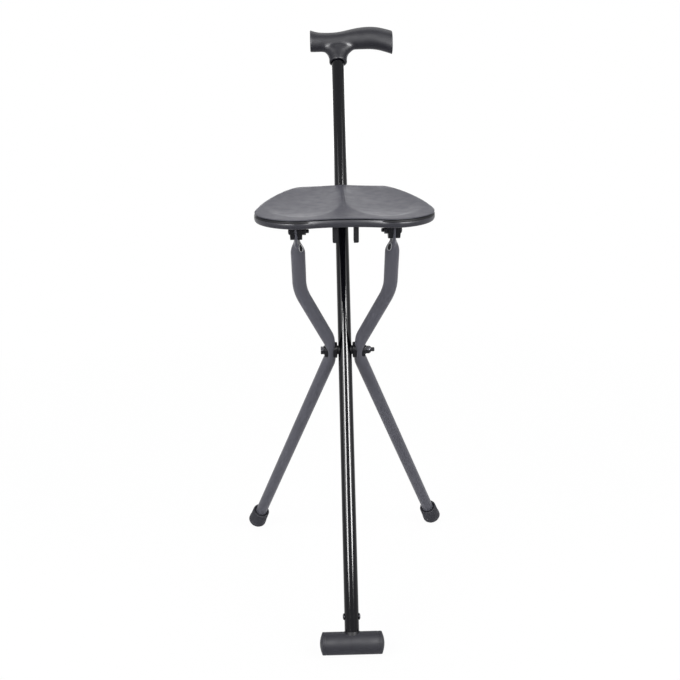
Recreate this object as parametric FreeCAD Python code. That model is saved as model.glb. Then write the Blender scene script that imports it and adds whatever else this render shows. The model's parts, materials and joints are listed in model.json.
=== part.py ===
import FreeCAD, Part
import math
import os

# A walking stick that opens into a three-legged seat. Millimetres, +Z up, the long handle
# along X, the T-shaped foot towards -Y. The origin is on the floor, under the middle of the
# object. The stick, the legs and the seat are each drawn upright in a frame of their own,
# then leaned into the open pose. The stick's and the legs' frames start on the pivot bolt,
# the seat's on the two bolts that carry it. Round work is many-sided, which keeps the model
# light, except the bolts that things turn on and the seat's plan.

# Stance
STICK_LEAN = 27.5
LEGS_LEAN = 26.65
SEAT_RISE = 6.0

# Clearances
RUN_GAP = 0.05
SLIDE_GAP = 0.4
SIDE_GAP = 0.3

# Stick
TUBE_RADIUS = 9.0
TUBE_WALL = 1.5
TUBE_SIDES = 24
FOOT_DROP = 370.0
HANDLE_RISE = 465.0

# Handle
HANDLE_NOSE = 40.0
HANDLE_PALM = 81.0
COLLAR_RADIUS = 11.3
COLLAR_DROP = 37.0
MOUTH_RADIUS = 10.2
MOUTH_DEPTH = 3.5
SOCKET_DEPTH = 26.0
HANDLE_EDGE = 1.6
NECK_OFFSET = 0.6
GRIP_SIDES = 20

# T-shaped foot and the core inside it
FOOT_RADIUS = 13.6
FOOT_LENGTH = 79.5
FOOT_DOME = 2.6
FOOT_EDGE = 1.5
FOOT_FLAT = 0.5
FOOT_COLLAR_RADIUS = 11.4
FOOT_COLLAR_HEIGHT = 4.5
BOOT_SIDES = 24
CORE_RADIUS = 6.0
CORE_LENGTH = 56.0
CORE_PLUG_RISE = 46.0
RIVET_RADIUS = 2.0
RIVET_RISE = 31.0
RIVET_HEAD_RADIUS = 4.3
RIVET_HEAD_HEIGHT = 2.7
BUTTON_SIDES = 14

# Legs
LEG_RADIUS = 8.75
LEG_WALL = 1.4
LEG_SIDES = 16
LEG_PIVOT_SPREAD = 19.0
LEG_TOP_SPREAD = 56.8
LOWER_SPLAY = 19.1
UPPER_SPLAY = 23.3
PIVOT_BEND_RADIUS = 67.0
TOP_BEND_RADIUS = 72.0
PIVOT_FLAT_HALF = 6.2
PIVOT_FLAT_WIDTH = 10.2
LEG_REACH = 188.7
CRIMP_START = 29.0
CRIMP_END = 11.6
PLATE_THICKNESS = 3.4
PLATE_WIDTH = 22.0
PLATE_OFFSET = 1.0

# Ferrules
FERRULE_RADIUS = 14.0
FERRULE_MOUTH_RADIUS = 13.1
FERRULE_LENGTH = 27.0
FERRULE_FLOOR = 7.0
FERRULE_RECESS = 3.2
FERRULE_RECESS_GAP = 1.9
FERRULE_EDGE = 1.4
FERRULE_FLAT = 0.9
DISC_THICKNESS = 1.2

# Pivot stack along X
BOLT_RADIUS = 3.0
BOLT_HEAD_FLATS = 10.0
BOLT_HEAD_HEIGHT = 4.0
BOLT_TAIL = 4.9
NUT_HEIGHT = 6.2
WASHER_RADIUS = 6.2
WASHER_THICKNESS = 1.2
SPACER_RADIUS = 6.0
SMALL_SIDES = 16
INNER_SADDLE_BACK = 2.6
OUTER_SADDLE_BACK = 2.0
SADDLE_WRAP = 4.2
SADDLE_WIDTH = 17.0
SADDLE_HEIGHT = 19.5
OUTER_SADDLE_HEIGHT = 16.0

# Seat bolts
PIN_RADIUS = 2.5
PIN_HEAD_RADIUS = 4.3
PIN_HEAD_HEIGHT = 2.6
PIN_NUT_FLATS = 8.0
PIN_NUT_HEIGHT = 4.6
PIN_TAIL = 3.6

# Seat
SEAT_BOTTOM = 11.9
SEAT_TOP = 23.2
SEAT_JOINT = 19.2
SEAT_GROOVE = 0.5
SEAT_FAR = 177.6
SEAT_HALF_WIDTH = 108.0
SEAT_WALL = 3.0
SEAT_FLOOR = 14.2
SEAT_SKIN = 16.4
POCKET_MARGIN = 9.0
LOBE_RADIUS = 57.0
LOBE_FRONT = 37.0
TOE_RADIUS = 35.0
TOE_TURN = math.radians(11.5)
SEAT_HOLLOW = 23.0
SIDE_RADIUS = 480.0
SIDE_TURN = math.radians(8.0)
CORNER_RADIUS = 13.0
DISH_DEPTH = 4.6
DISH_RIM = 4.0
FAR_FALL = 2.2
RIB_THICKNESS = 2.2
RIB_DROP = 2.0
EAR_THICKNESS = 5.0
EAR_RADIUS = 10.0
EAR_ROOT = 11.0
CLIP_THICKNESS = 5.8
CLIP_DROP = 9.5
CLIP_ROOF = 10.8
CLIP_START = -23.0
CLIP_LENGTH = 14.0
CHEEK_THICKNESS = 4.8
CHEEK_BOSS = 6.8
CHEEK_HOOK = 7.6

# Stop pin through the stick and guide pin behind it
STOP_RADIUS = 3.0
STOP_DROP = 16.0
STOP_OVERHANG = 0.8
GUIDE_RADIUS = 2.5
GUIDE_HEAD_RADIUS = 4.4
GUIDE_HEAD_HEIGHT = 2.4

X_AXIS = FreeCAD.Vector(1, 0, 0)
Y_AXIS = FreeCAD.Vector(0, 1, 0)
Z_AXIS = FreeCAD.Vector(0, 0, 1)
ORIGIN = FreeCAD.Vector(0, 0, 0)

pivot_height = FOOT_RADIUS - FOOT_FLAT + FOOT_DROP * math.cos(math.radians(STICK_LEAN))


def vec(x, y, z):
    """A point or direction."""
    return FreeCAD.Vector(x, y, z)


def x_cylinder(radius, start, end, y=0.0, z=0.0):
    """A round bar along X from start to end."""
    return Part.makeCylinder(radius, end - start, vec(start, y, z), X_AXIS)


def box(x0, x1, y0, y1, z0, z1):
    """A block between two corners."""
    return Part.makeBox(x1 - x0, y1 - y0, z1 - z0, vec(x0, y0, z0))


def x_bar(radius, start, end, y=0.0, z=0.0, sides=SMALL_SIDES):
    """A many-sided bar along X, its corners at the radius."""
    corners = []
    for step in range(sides + 1):
        angle = 2 * math.pi * step / sides
        corners.append(vec(start, y + radius * math.cos(angle), z + radius * math.sin(angle)))
    return Part.Face(Part.makePolygon(corners)).extrude(vec(end - start, 0, 0))


def x_bore(radius, start, end, y=0.0, z=0.0):
    """The many-sided space of a plain hole along X, its flats at the radius."""
    return x_bar(radius / math.cos(math.pi / SMALL_SIDES), start, end, y, z)


def hexagon(flats, start, end):
    """A six-sided bar along X, flats being the width across its flats."""
    return x_bar(flats / math.sqrt(3), start, end, sides=6)


def mirrored(shape):
    """The same piece on the left side."""
    return shape.mirror(ORIGIN, X_AXIS)


def leaned(shape, degrees, place):
    """A piece turned about X and carried from its own frame to the open pose."""
    copy = shape.copy()
    copy.rotate(ORIGIN, X_AXIS, degrees)
    copy.translate(place)
    return copy


def on_stick(shape):
    """From the stick's upright frame to the open pose."""
    return leaned(shape, -STICK_LEAN, vec(0, 0, pivot_height))


def on_legs(shape):
    """From the legs' upright frame to the open pose."""
    return leaned(shape, LEGS_LEAN, vec(0, 0, pivot_height))


def seat_place():
    """Where the seat's own frame starts in the open pose: on the two seat bolts."""
    lean = math.radians(LEGS_LEAN)
    return vec(0, -LEG_REACH * math.sin(lean), pivot_height + LEG_REACH * math.cos(lean))


def on_seat(shape):
    """From the seat's level frame to the open pose."""
    return leaned(shape, SEAT_RISE, seat_place())


def stick_in_seat(drop):
    """The stick's centre line in the seat's frame, at a height below the seat bolts."""
    pivot = seat_place().negative() + vec(0, 0, pivot_height)
    rise = math.radians(-SEAT_RISE)
    y = pivot.y * math.cos(rise) - pivot.z * math.sin(rise)
    z = pivot.y * math.sin(rise) + pivot.z * math.cos(rise)
    slope = math.radians(90 - STICK_LEAN - SEAT_RISE)
    along = (-drop - z) / math.sin(slope)
    return vec(0, y + along * math.cos(slope), -drop), along


stop_place, stop_reach = stick_in_seat(STOP_DROP)
stick_slope = math.radians(90 - STICK_LEAN - SEAT_RISE)
guide_offset = TUBE_RADIUS + GUIDE_RADIUS + SLIDE_GAP
guide_line, guide_along = stick_in_seat(guide_offset)
guide_place = vec(0, guide_line.y + guide_offset / math.sin(stick_slope), -guide_offset)


# The stick: tube, handle, foot and the pins through the tube

tube_bottom = -FOOT_DROP + CORE_RADIUS + 1.0
collar_height = HANDLE_RISE - COLLAR_DROP
tube_top = collar_height + SOCKET_DEPTH
rivet_height = -FOOT_DROP + RIVET_RISE


def make_shaft():
    """The long straight tube, drilled for the pivot bolt, the stop pin and the foot's rivet."""
    tube = z_bar(TUBE_RADIUS, tube_bottom, tube_top, TUBE_SIDES)
    tube = tube.cut(z_bar(TUBE_RADIUS - TUBE_WALL, tube_bottom - 1, tube_top + 1, TUBE_SIDES))
    reach = TUBE_RADIUS * 2
    tube = tube.cut(x_cylinder(BOLT_RADIUS + RUN_GAP, -reach, reach))
    tube = tube.cut(x_bore(STOP_RADIUS, -reach, reach, 0, stop_reach))
    return tube.cut(x_bore(RIVET_RADIUS, -reach, reach, 0, rivet_height))


def ring(centre, normal, major_dir, major, minor, sides):
    """The corners of an oval across a bar, its major half-width along major_dir."""
    side = normal.cross(major_dir)
    corners = []
    for step in range(sides):
        angle = 2 * math.pi * step / sides
        corners.append(centre + major_dir * (major * math.cos(angle)) + side * (minor * math.sin(angle)))
    return corners


def facets(a, b, c, d):
    """One flat facet between four corners, or two where the four don't lie in a plane."""
    normal = (b - a).cross(c - a).normalize()
    if abs(normal.dot(d - a)) < 1e-7:
        return [Part.Face(Part.makePolygon([a, b, c, d, a]))]
    return [Part.Face(Part.makePolygon([a, b, c, a])), Part.Face(Part.makePolygon([a, c, d, a]))]


def skinned(rings):
    """A solid with facets from ring to ring and a flat face on each end."""
    faces = [Part.Face(Part.makePolygon(end + [end[0]])) for end in (rings[0], rings[-1])]
    for low, high in zip(rings, rings[1:]):
        for k in range(len(low)):
            faces += facets(low[k - 1], low[k], high[k], high[k - 1])
    solid = Part.Solid(Part.Shell(faces))
    if solid.Volume < 0:
        solid.reverse()
    return solid


def turned(profile, axis, across, sides):
    """A solid of round rings along an axis, from pairs of place and radius."""
    return skinned([ring(axis * place, axis, across, radius, radius, sides) for place, radius in profile])


def z_bar(radius, bottom, top, sides):
    """A many-sided bar along Z, its corners at the radius."""
    return turned(((bottom, radius), (top, radius)), Z_AXIS, Y_AXIS, sides)


def eased(rows, share):
    """The values of a table at a share of its length, on a smooth curve through its rows."""
    spans = len(rows) - 1
    place = min(int(share * spans), spans - 1)
    part = share * spans - place
    before, start, end, after = (rows[min(max(place + k, 0), spans)] for k in (-1, 0, 1, 2))
    values = []
    for a, b, c, d in zip(before, start, end, after):
        slope_in = (c - a) / 2
        slope_out = (d - b) / 2
        values.append(b + slope_in * part + (3 * (c - b) - 2 * slope_in - slope_out) * part ** 2
                      + (2 * (b - c) + slope_in + slope_out) * part ** 3)
    return values


# Along the grip: place along X, height of its middle above the handle's level, half its
# height, half its thickness
GRIP_SECTIONS = (
    (-HANDLE_NOSE, 2.4, 15.1, 12.0),
    (-0.62 * HANDLE_NOSE, 0.3, 13.1, 11.6),
    (0.0, 0.9, 12.9, 11.7),
    (0.40 * HANDLE_PALM, 5.8, 15.0, 13.0),
    (0.70 * HANDLE_PALM, 5.8, 15.5, 13.6),
    (HANDLE_PALM, -1.2, 16.4, 13.2),
)
# Up the neck: height above the collar's rim, and the half-widths along X and Y
NECK_SECTIONS = (
    (0.0, COLLAR_RADIUS, COLLAR_RADIUS),
    (9.0, COLLAR_RADIUS + 0.9, COLLAR_RADIUS + 0.3),
    (14.0, COLLAR_RADIUS + 2.3, COLLAR_RADIUS + 0.4),
    (18.0, COLLAR_RADIUS + 5.0, COLLAR_RADIUS),
    (22.0, COLLAR_RADIUS + 9.0, COLLAR_RADIUS - 1.0),
    (25.0, COLLAR_RADIUS + 13.0, COLLAR_RADIUS - 2.5),
    (30.0, COLLAR_RADIUS + 16.0, COLLAR_RADIUS - 4.5),
)


def make_handle():
    """The moulded grip: a swept body with a waisted nose, and a neck down to the collar."""
    rings = []
    steps = 10
    for step in range(steps + 1):
        x, lift, half_height, half_thickness = eased(GRIP_SECTIONS, step / steps)
        centre = vec(x, 0, HANDLE_RISE + lift)
        if step in (0, steps):
            inward = vec(HANDLE_EDGE if step == 0 else -HANDLE_EDGE, 0, 0)
            end = ring(centre, X_AXIS, Z_AXIS, half_height - HANDLE_EDGE, half_thickness - HANDLE_EDGE,
                       GRIP_SIDES)
            edge = ring(centre + inward, X_AXIS, Z_AXIS, half_height, half_thickness, GRIP_SIDES)
            rings += [end, edge] if step == 0 else [edge, end]
        else:
            rings.append(ring(centre, X_AXIS, Z_AXIS, half_height, half_thickness, GRIP_SIDES))
    body = skinned(rings)
    rings = []
    for rise, half_width, half_depth in NECK_SECTIONS:
        rings.append(ring(vec(NECK_OFFSET, 0, collar_height + rise), Z_AXIS, X_AXIS, half_width, half_depth,
                          GRIP_SIDES))
    handle = body.fuse(skinned(rings))
    handle = handle.cut(z_bar(TUBE_RADIUS + RUN_GAP, collar_height - 5, tube_top + RUN_GAP, TUBE_SIDES))
    return handle.cut(z_bar(MOUTH_RADIUS, collar_height - 5, collar_height + MOUTH_DEPTH, TUBE_SIDES))


def make_foot():
    """The rubber foot: a cross bar with domed ends, hollow for its core, with a short collar."""
    straight = FOOT_LENGTH / 2 - FOOT_DOME
    cap_radius = FOOT_RADIUS - FOOT_EDGE
    profile = [(straight + FOOT_DOME * (1 - share ** 2), cap_radius * share) for share in (0.3, 0.7, 1.0)]
    profile.append((straight - FOOT_EDGE, FOOT_RADIUS))
    profile += [(-place, radius) for place, radius in reversed(profile)]
    foot = turned(profile, X_AXIS, Z_AXIS, BOOT_SIDES)
    collar = ((0.0, FOOT_COLLAR_RADIUS), (FOOT_RADIUS - 1.0, FOOT_COLLAR_RADIUS),
              (FOOT_RADIUS + FOOT_COLLAR_HEIGHT, TUBE_RADIUS + 0.6))
    foot = foot.fuse(turned(collar, Z_AXIS, X_AXIS, BOOT_SIDES))
    core_end = CORE_LENGTH / 2 + RUN_GAP
    foot = foot.cut(x_bore(CORE_RADIUS, -core_end, core_end))
    foot = foot.cut(z_bar(TUBE_RADIUS + RUN_GAP, tube_bottom + FOOT_DROP,
                          FOOT_RADIUS + FOOT_COLLAR_HEIGHT + 2, TUBE_SIDES))
    foot = foot.cut(z_bar(TUBE_RADIUS - TUBE_WALL, 0, FOOT_RADIUS, TUBE_SIDES))
    foot.translate(vec(0, 0, -FOOT_DROP))
    return foot


def make_core():
    """The stiff core: a bar inside the rubber and a plug up inside the tube."""
    bar = x_bar(CORE_RADIUS, -CORE_LENGTH / 2, CORE_LENGTH / 2)
    plug = z_bar(TUBE_RADIUS - TUBE_WALL - RUN_GAP, 0, CORE_PLUG_RISE, TUBE_SIDES)
    core = bar.fuse(plug).cut(x_bore(RIVET_RADIUS, -TUBE_RADIUS, TUBE_RADIUS, 0, RIVET_RISE))
    core.translate(vec(0, 0, -FOOT_DROP))
    return core


def button(radius, height, start, direction, y=0.0, z=0.0):
    """A small button head on an X axis, its edge bevelled."""
    profile = ((start, radius), (start + direction * height * 0.45, radius),
               (start + direction * height, radius * 0.62))
    head = turned(profile, X_AXIS, Z_AXIS, BUTTON_SIDES)
    head.translate(vec(0, y, z))
    return head


def make_rivet():
    """The rivet through the tube and the core's plug."""
    body = x_bar(RIVET_RADIUS, -TUBE_RADIUS - 0.5, TUBE_RADIUS + 0.5, 0, rivet_height)
    right = button(RIVET_HEAD_RADIUS, RIVET_HEAD_HEIGHT, TUBE_RADIUS, 1, 0, rivet_height)
    left = button(RIVET_HEAD_RADIUS, RIVET_HEAD_HEIGHT, -TUBE_RADIUS, -1, 0, rivet_height)
    return body.fuse([right, left])


def make_stop_pin():
    """The cross pin on which the seat's hooks rest."""
    half = TUBE_RADIUS + SLIDE_GAP + CHEEK_THICKNESS + STOP_OVERHANG
    return x_bar(STOP_RADIUS, -half, half, 0, stop_reach)


leg_inner_face = LEG_PIVOT_SPREAD - PIVOT_FLAT_HALF
leg_outer_face = LEG_PIVOT_SPREAD + PIVOT_FLAT_HALF
saddle_face = leg_inner_face - INNER_SADDLE_BACK


def make_spacer():
    """The right-hand spacer, hollowed to sit on the tube."""
    spacer = x_bar(SPACER_RADIUS, 0, saddle_face - RUN_GAP)
    spacer = spacer.cut(z_bar(TUBE_RADIUS, -SPACER_RADIUS * 2, SPACER_RADIUS * 2, TUBE_SIDES))
    return spacer.cut(x_bore(BOLT_RADIUS + RUN_GAP, -1, TUBE_RADIUS * 2))


# The legs: two bent tubes, their rubber ferrules and the pivot's stack

lower = math.radians(LOWER_SPLAY)
upper = math.radians(UPPER_SPLAY)
bend_centre_x = LEG_PIVOT_SPREAD + PIVOT_BEND_RADIUS
lower_tilt = math.acos(math.cos(lower) * math.cos(math.radians(LEGS_LEAN)))
foot_level = (pivot_height - FERRULE_RADIUS * math.sin(lower_tilt) + FERRULE_FLAT)
foot_depth = foot_level / math.cos(math.radians(LEGS_LEAN))


def bend_point(angle):
    """A place on the leg's centre line in the pivot bend, at an angle above the level."""
    return vec(bend_centre_x - PIVOT_BEND_RADIUS * math.cos(angle), 0,
               PIVOT_BEND_RADIUS * math.sin(angle))


bend_low = bend_point(-lower)
bend_high = bend_point(upper)
down_leg = vec(math.sin(lower), 0, -math.cos(lower))
up_leg = vec(math.sin(upper), 0, math.cos(upper))
foot_run = (foot_depth + bend_low.z) / math.cos(lower)
foot_centre = bend_low + down_leg * foot_run
tube_end = bend_low + down_leg * (foot_run - FERRULE_FLOOR)
knee_start_x = LEG_TOP_SPREAD - TOP_BEND_RADIUS * (1 - math.cos(upper))
knee_run = (knee_start_x - bend_high.x) / math.sin(upper)
knee_low = bend_high + up_leg * knee_run
knee_high = vec(LEG_TOP_SPREAD, 0, knee_low.z + TOP_BEND_RADIUS * math.sin(upper))
crimp_low = vec(LEG_TOP_SPREAD, 0, LEG_REACH - CRIMP_START)
plate_x = LEG_TOP_SPREAD + PLATE_OFFSET
# Up the crimp: share of its height, of the way to the plate's thickness and to its width
CRIMP_STEPS = ((0.0, 0.0, 0.0), (0.4, 0.07, 0.08), (0.7, 0.26, 0.3), (0.9, 0.6, 0.65), (1.0, 1.0, 1.0))


def leg_body(inset):
    """One leg's outer form, or with an inset the space inside it."""
    radius = LEG_RADIUS - inset
    overrun = 1.0 if inset > 0 else 0.0
    bend_steps = 4 if inset > 0 else 6
    knee_steps = 2 if inset > 0 else 3
    start = tube_end + down_leg * overrun
    rings = [ring(start, down_leg.negative(), Y_AXIS, radius, radius, LEG_SIDES)]
    for step in range(bend_steps + 1):
        angle = -lower + (lower + upper) * step / bend_steps
        flat = math.sin(math.pi * step / bend_steps) ** 2
        half_in = radius + (PIVOT_FLAT_HALF - LEG_RADIUS) * flat
        half_wide = radius + (PIVOT_FLAT_WIDTH - LEG_RADIUS) * flat
        along = vec(math.sin(angle), 0, math.cos(angle))
        rings.append(ring(bend_point(angle), along, Y_AXIS, half_wide, half_in, LEG_SIDES))
    knee_centre = vec(LEG_TOP_SPREAD - TOP_BEND_RADIUS, 0, knee_high.z)
    for step in range(knee_steps + 1):
        angle = upper * (1 - step / knee_steps)
        outward = vec(math.cos(angle), 0, -math.sin(angle))
        along = vec(math.sin(angle), 0, math.cos(angle))
        centre = knee_centre + outward * TOP_BEND_RADIUS
        rings.append(ring(centre, along, Y_AXIS, radius, radius, LEG_SIDES))
    for share, thin, wide in CRIMP_STEPS:
        half_in = radius + (PLATE_THICKNESS / 2 - inset * 0.9 - radius) * thin
        half_wide = radius + (PLATE_WIDTH / 2 - 0.3 - inset - radius) * wide
        centre = vec(LEG_TOP_SPREAD + PLATE_OFFSET * thin, 0,
                     crimp_low.z + (CRIMP_START - CRIMP_END) * share)
        rings.append(ring(centre, Z_AXIS, Y_AXIS, half_wide, half_in, LEG_SIDES))
    return skinned(rings)


def make_leg():
    """The right leg: tube, pressed flat at the pivot and crimped to a plate at the top."""
    leg = leg_body(0.0).cut(leg_body(LEG_WALL))
    half = PLATE_THICKNESS / 2
    plate = box(plate_x - half, plate_x + half, -PLATE_WIDTH / 2, PLATE_WIDTH / 2,
                LEG_REACH - CRIMP_END - 1.5, LEG_REACH)
    cap = x_bar(PLATE_WIDTH / 2, plate_x - half, plate_x + half, 0, LEG_REACH, GRIP_SIDES)
    leg = leg.fuse([plate, cap]).removeSplitter()
    leg = leg.cut(x_bore(BOLT_RADIUS, 0, LEG_TOP_SPREAD))
    return leg.cut(x_cylinder(PIN_RADIUS + RUN_GAP, LEG_PIVOT_SPREAD, LEG_TOP_SPREAD * 2, 0, LEG_REACH))


def along_leg(shape):
    """From a frame at the ferrule's sole, its axis up Z, to the leg's lower end."""
    copy = shape.copy()
    copy.rotate(ORIGIN, vec(0, 1, 0), -LOWER_SPLAY)
    copy.translate(foot_centre)
    return copy


def make_ferrule():
    """The right ferrule: a rubber boot with a recessed mouth and a band round its sole."""
    band = 6.0
    step = 0.5
    profile = ((0, FERRULE_RADIUS - FERRULE_EDGE), (FERRULE_EDGE, FERRULE_RADIUS), (band, FERRULE_RADIUS),
               (band + step, FERRULE_RADIUS - step), (FERRULE_LENGTH, FERRULE_MOUTH_RADIUS))
    recess = ((FERRULE_LENGTH - FERRULE_RECESS, LEG_RADIUS + FERRULE_RECESS_GAP * 0.6),
              (FERRULE_LENGTH, LEG_RADIUS + FERRULE_RECESS_GAP))
    boot = turned(profile, Z_AXIS, Y_AXIS, BOOT_SIDES).cut(turned(recess, Z_AXIS, Y_AXIS, BOOT_SIDES))
    return along_leg(boot.cut(z_bar(LEG_RADIUS + RUN_GAP, FERRULE_FLOOR - DISC_THICKNESS, FERRULE_LENGTH,
                                    LEG_SIDES)))


def make_disc():
    """The steel disc in the ferrule, which stops the tube cutting through the rubber."""
    return along_leg(z_bar(LEG_RADIUS, FERRULE_FLOOR - DISC_THICKNESS, FERRULE_FLOOR, LEG_SIDES))


def make_saddle(leg_form, outside):
    """A shaped seat between the bent leg and the bolt: inner or outer side."""
    height = OUTER_SADDLE_HEIGHT if outside else SADDLE_HEIGHT
    if outside:
        low = leg_outer_face - SADDLE_WRAP + OUTER_SADDLE_BACK
        high = leg_outer_face + OUTER_SADDLE_BACK
    else:
        low = saddle_face
        high = leg_inner_face + SADDLE_WRAP
    block = x_bar(height / 2, low, high)
    block = block.common(box(low, high, -SADDLE_WIDTH / 2, SADDLE_WIDTH / 2, -height / 2, height / 2))
    piece = block.cut(leg_form).cut(x_bore(BOLT_RADIUS, low - 1, high + 1))
    return sorted(piece.Solids, key=lambda solid: solid.Volume)[-1]


stack_face = leg_outer_face + OUTER_SADDLE_BACK
washer_face = stack_face + WASHER_THICKNESS


def make_washer():
    """The right-hand washer of the pivot."""
    washer = x_bar(WASHER_RADIUS, stack_face, washer_face)
    return washer.cut(x_bore(BOLT_RADIUS, stack_face - 1, washer_face + 1))


def make_pivot_bolt():
    """The pivot bolt: hexagon head on the left, thread end on the right."""
    tail = washer_face + NUT_HEIGHT + BOLT_TAIL
    head = hexagon(BOLT_HEAD_FLATS, -washer_face - BOLT_HEAD_HEIGHT, -washer_face)
    return head.fuse(x_cylinder(BOLT_RADIUS, -washer_face, tail))


def make_pivot_nut():
    """The locking nut: a hexagon with a round collar over its ring."""
    middle = washer_face + NUT_HEIGHT * 0.72
    nut = hexagon(BOLT_HEAD_FLATS, washer_face, middle)
    collar = x_bar(BOLT_HEAD_FLATS * 0.46, middle, washer_face + NUT_HEIGHT)
    return nut.fuse(collar).cut(x_bore(BOLT_RADIUS, washer_face - 1, washer_face + NUT_HEIGHT + 1))


# The seat: an upper moulding on a ribbed base, its lugs, clip and hooks

ear_inner = plate_x - PLATE_THICKNESS / 2 - SIDE_GAP - EAR_THICKNESS
ear_outer = plate_x + PLATE_THICKNESS / 2 + SIDE_GAP + EAR_THICKNESS


def outline_wire(inset, height):
    """The seat's plan at a height, drawn in by an inset: tangent arcs round two lobes, a hollow
    between them, long sides that narrow to the straight far edge."""
    lobe = vec(SEAT_HALF_WIDTH - LOBE_RADIUS, LOBE_RADIUS - LOBE_FRONT, 0)
    toe_step = LOBE_RADIUS - TOE_RADIUS
    toe = lobe + vec(math.sin(TOE_TURN), -math.cos(TOE_TURN), 0) * toe_step
    rise = toe.y + SEAT_HOLLOW
    hollow_radius = (toe.x ** 2 + rise ** 2 - TOE_RADIUS ** 2) / (2 * (TOE_RADIUS - rise))
    hollow = vec(0, -SEAT_HOLLOW - hollow_radius, 0)
    side = lobe - vec(math.cos(SIDE_TURN), math.sin(SIDE_TURN), 0) * (SIDE_RADIUS - LOBE_RADIUS)
    corner_y = SEAT_FAR - CORNER_RADIUS
    reach = SIDE_RADIUS - CORNER_RADIUS
    corner = vec(side.x + math.sqrt(reach ** 2 - (corner_y - side.y) ** 2), corner_y, 0)
    up = math.pi / 2
    side_end = math.atan2(corner.y - side.y, corner.x - side.x)
    toe_end = math.atan2(hollow.y - toe.y, hollow.x - toe.x)
    arcs = (
        (corner, CORNER_RADIUS - inset, up, side_end),
        (side, SIDE_RADIUS - inset, side_end, SIDE_TURN),
        (lobe, LOBE_RADIUS - inset, SIDE_TURN, TOE_TURN - up),
        (toe, TOE_RADIUS - inset, TOE_TURN - up, toe_end),
        (hollow, hollow_radius + inset, toe_end + math.pi, up),
    )
    ends = []
    right = []
    for centre, radius, start, end in arcs:
        spots = []
        for angle in (start, (start + end) / 2, end):
            spots.append(centre + vec(math.cos(angle), math.sin(angle), 0) * radius + vec(0, 0, height))
        right.append(Part.Arc(*spots).toShape())
        ends.append(spots[0])
    left = [mirrored(edge) for edge in right]
    far_edge = Part.LineSegment(vec(-ends[0].x, ends[0].y, height), ends[0]).toShape()
    return Part.Wire(Part.__sortEdges__([far_edge] + right + left))


def outline_slab(inset, bottom, top):
    """A flat slab of the seat's plan."""
    return Part.Face(outline_wire(inset, bottom)).extrude(vec(0, 0, top - bottom))


def outline_stack(levels):
    """A solid whose plan is drawn in by its own inset at each level."""
    return Part.makeLoft([outline_wire(inset, height) for inset, height in levels], True, True)


def pocket_block(inset, bottom, top):
    """The pocket in the base under the dished areas, or with an inset the block that fills it."""
    margin = POCKET_MARGIN + inset
    right = (
        (SEAT_HALF_WIDTH - LOBE_RADIUS + POCKET_MARGIN, 2 * margin - LOBE_FRONT),
        (SEAT_HALF_WIDTH - 2 * margin, 10.0),
        (SEAT_HALF_WIDTH - 2.6 * margin, 92.0),
        (SEAT_HALF_WIDTH - 6 * margin, SEAT_FAR - 3 * margin),
    )
    corners = [vec(0, margin - SEAT_HOLLOW, bottom)]
    corners += [vec(x, y, bottom) for x, y in right]
    corners += [vec(-x, y, bottom) for x, y in reversed(right)]
    return Part.Face(Part.makePolygon(corners + [corners[0]])).extrude(vec(0, 0, top - bottom))


def dish_drop(x, y):
    """How far the sitting surface dips below the crest at a place in the seat's plan."""
    front = 86.0
    half_width = (SEAT_HALF_WIDTH - DISH_RIM) * (1 - ((y - 26.0) / 214.0) ** 2)
    across = min(abs(x) / half_width, 1.25)
    bowl = 1 - (2 * across - 1) ** 2
    if y < front:
        return DISH_DEPTH * (bowl - ((front - y) / 104.0) ** 2)
    fade = ((y - front) / (SEAT_FAR - front)) ** 2
    return DISH_DEPTH * bowl * (1 - fade) + FAR_FALL * across * fade


def dish_cutter(side):
    """The space above one dished area."""
    rows = []
    back = SEAT_FAR + 14
    front = -50.0
    spans = 5
    for i in range(spans + 1):
        y = back + (front - back) * i / spans
        row = []
        for j in range(spans):
            x = side * (SEAT_HALF_WIDTH + 10) * j / (spans - 1)
            row.append(vec(x, y, SEAT_TOP - dish_drop(x, y)))
        rows.append(row)
    surface = Part.BSplineSurface()
    surface.interpolate(rows)
    return surface.toShape().extrude(vec(0, 0, 40))


def make_seat_top():
    """The upper moulding: a rolled lip, two dished areas and the ridge between them."""
    bottom = SEAT_JOINT + SEAT_GROOVE
    lip = outline_stack(((1.6, bottom), (0.6, bottom + 0.9), (1.0, bottom + 2.2), (4.4, SEAT_TOP)))
    top = lip.fuse(pocket_block(SIDE_GAP, SEAT_SKIN, bottom))
    for side in (1, -1):
        top = top.cut(dish_cutter(side))
    return top


def rounded_profile(points, x0, x1):
    """A plate across X with a side view of straight lines between points."""
    corners = [vec(x0, y, z) for y, z in points]
    return Part.Face(Part.makePolygon(corners + [corners[0]])).extrude(vec(x1 - x0, 0, 0))


def tangent_hull(first, first_radius, second, second_radius, x0, x1):
    """A plate across X round two circles in side view."""
    gap = second - first
    turn = math.acos((first_radius - second_radius) / gap.Length)
    heading = math.atan2(gap.z, gap.y)
    corners = []
    for centre, radius, sign in ((first, first_radius, 1), (second, second_radius, 1),
                                 (second, second_radius, -1), (first, first_radius, -1)):
        angle = heading + sign * turn
        corners.append((centre.y + radius * math.cos(angle), centre.z + radius * math.sin(angle)))
    hull = rounded_profile(corners, x0, x1)
    return hull.fuse([x_cylinder(first_radius, x0, x1, first.y, first.z),
                      x_cylinder(second_radius, x0, x1, second.y, second.z)])


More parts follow.
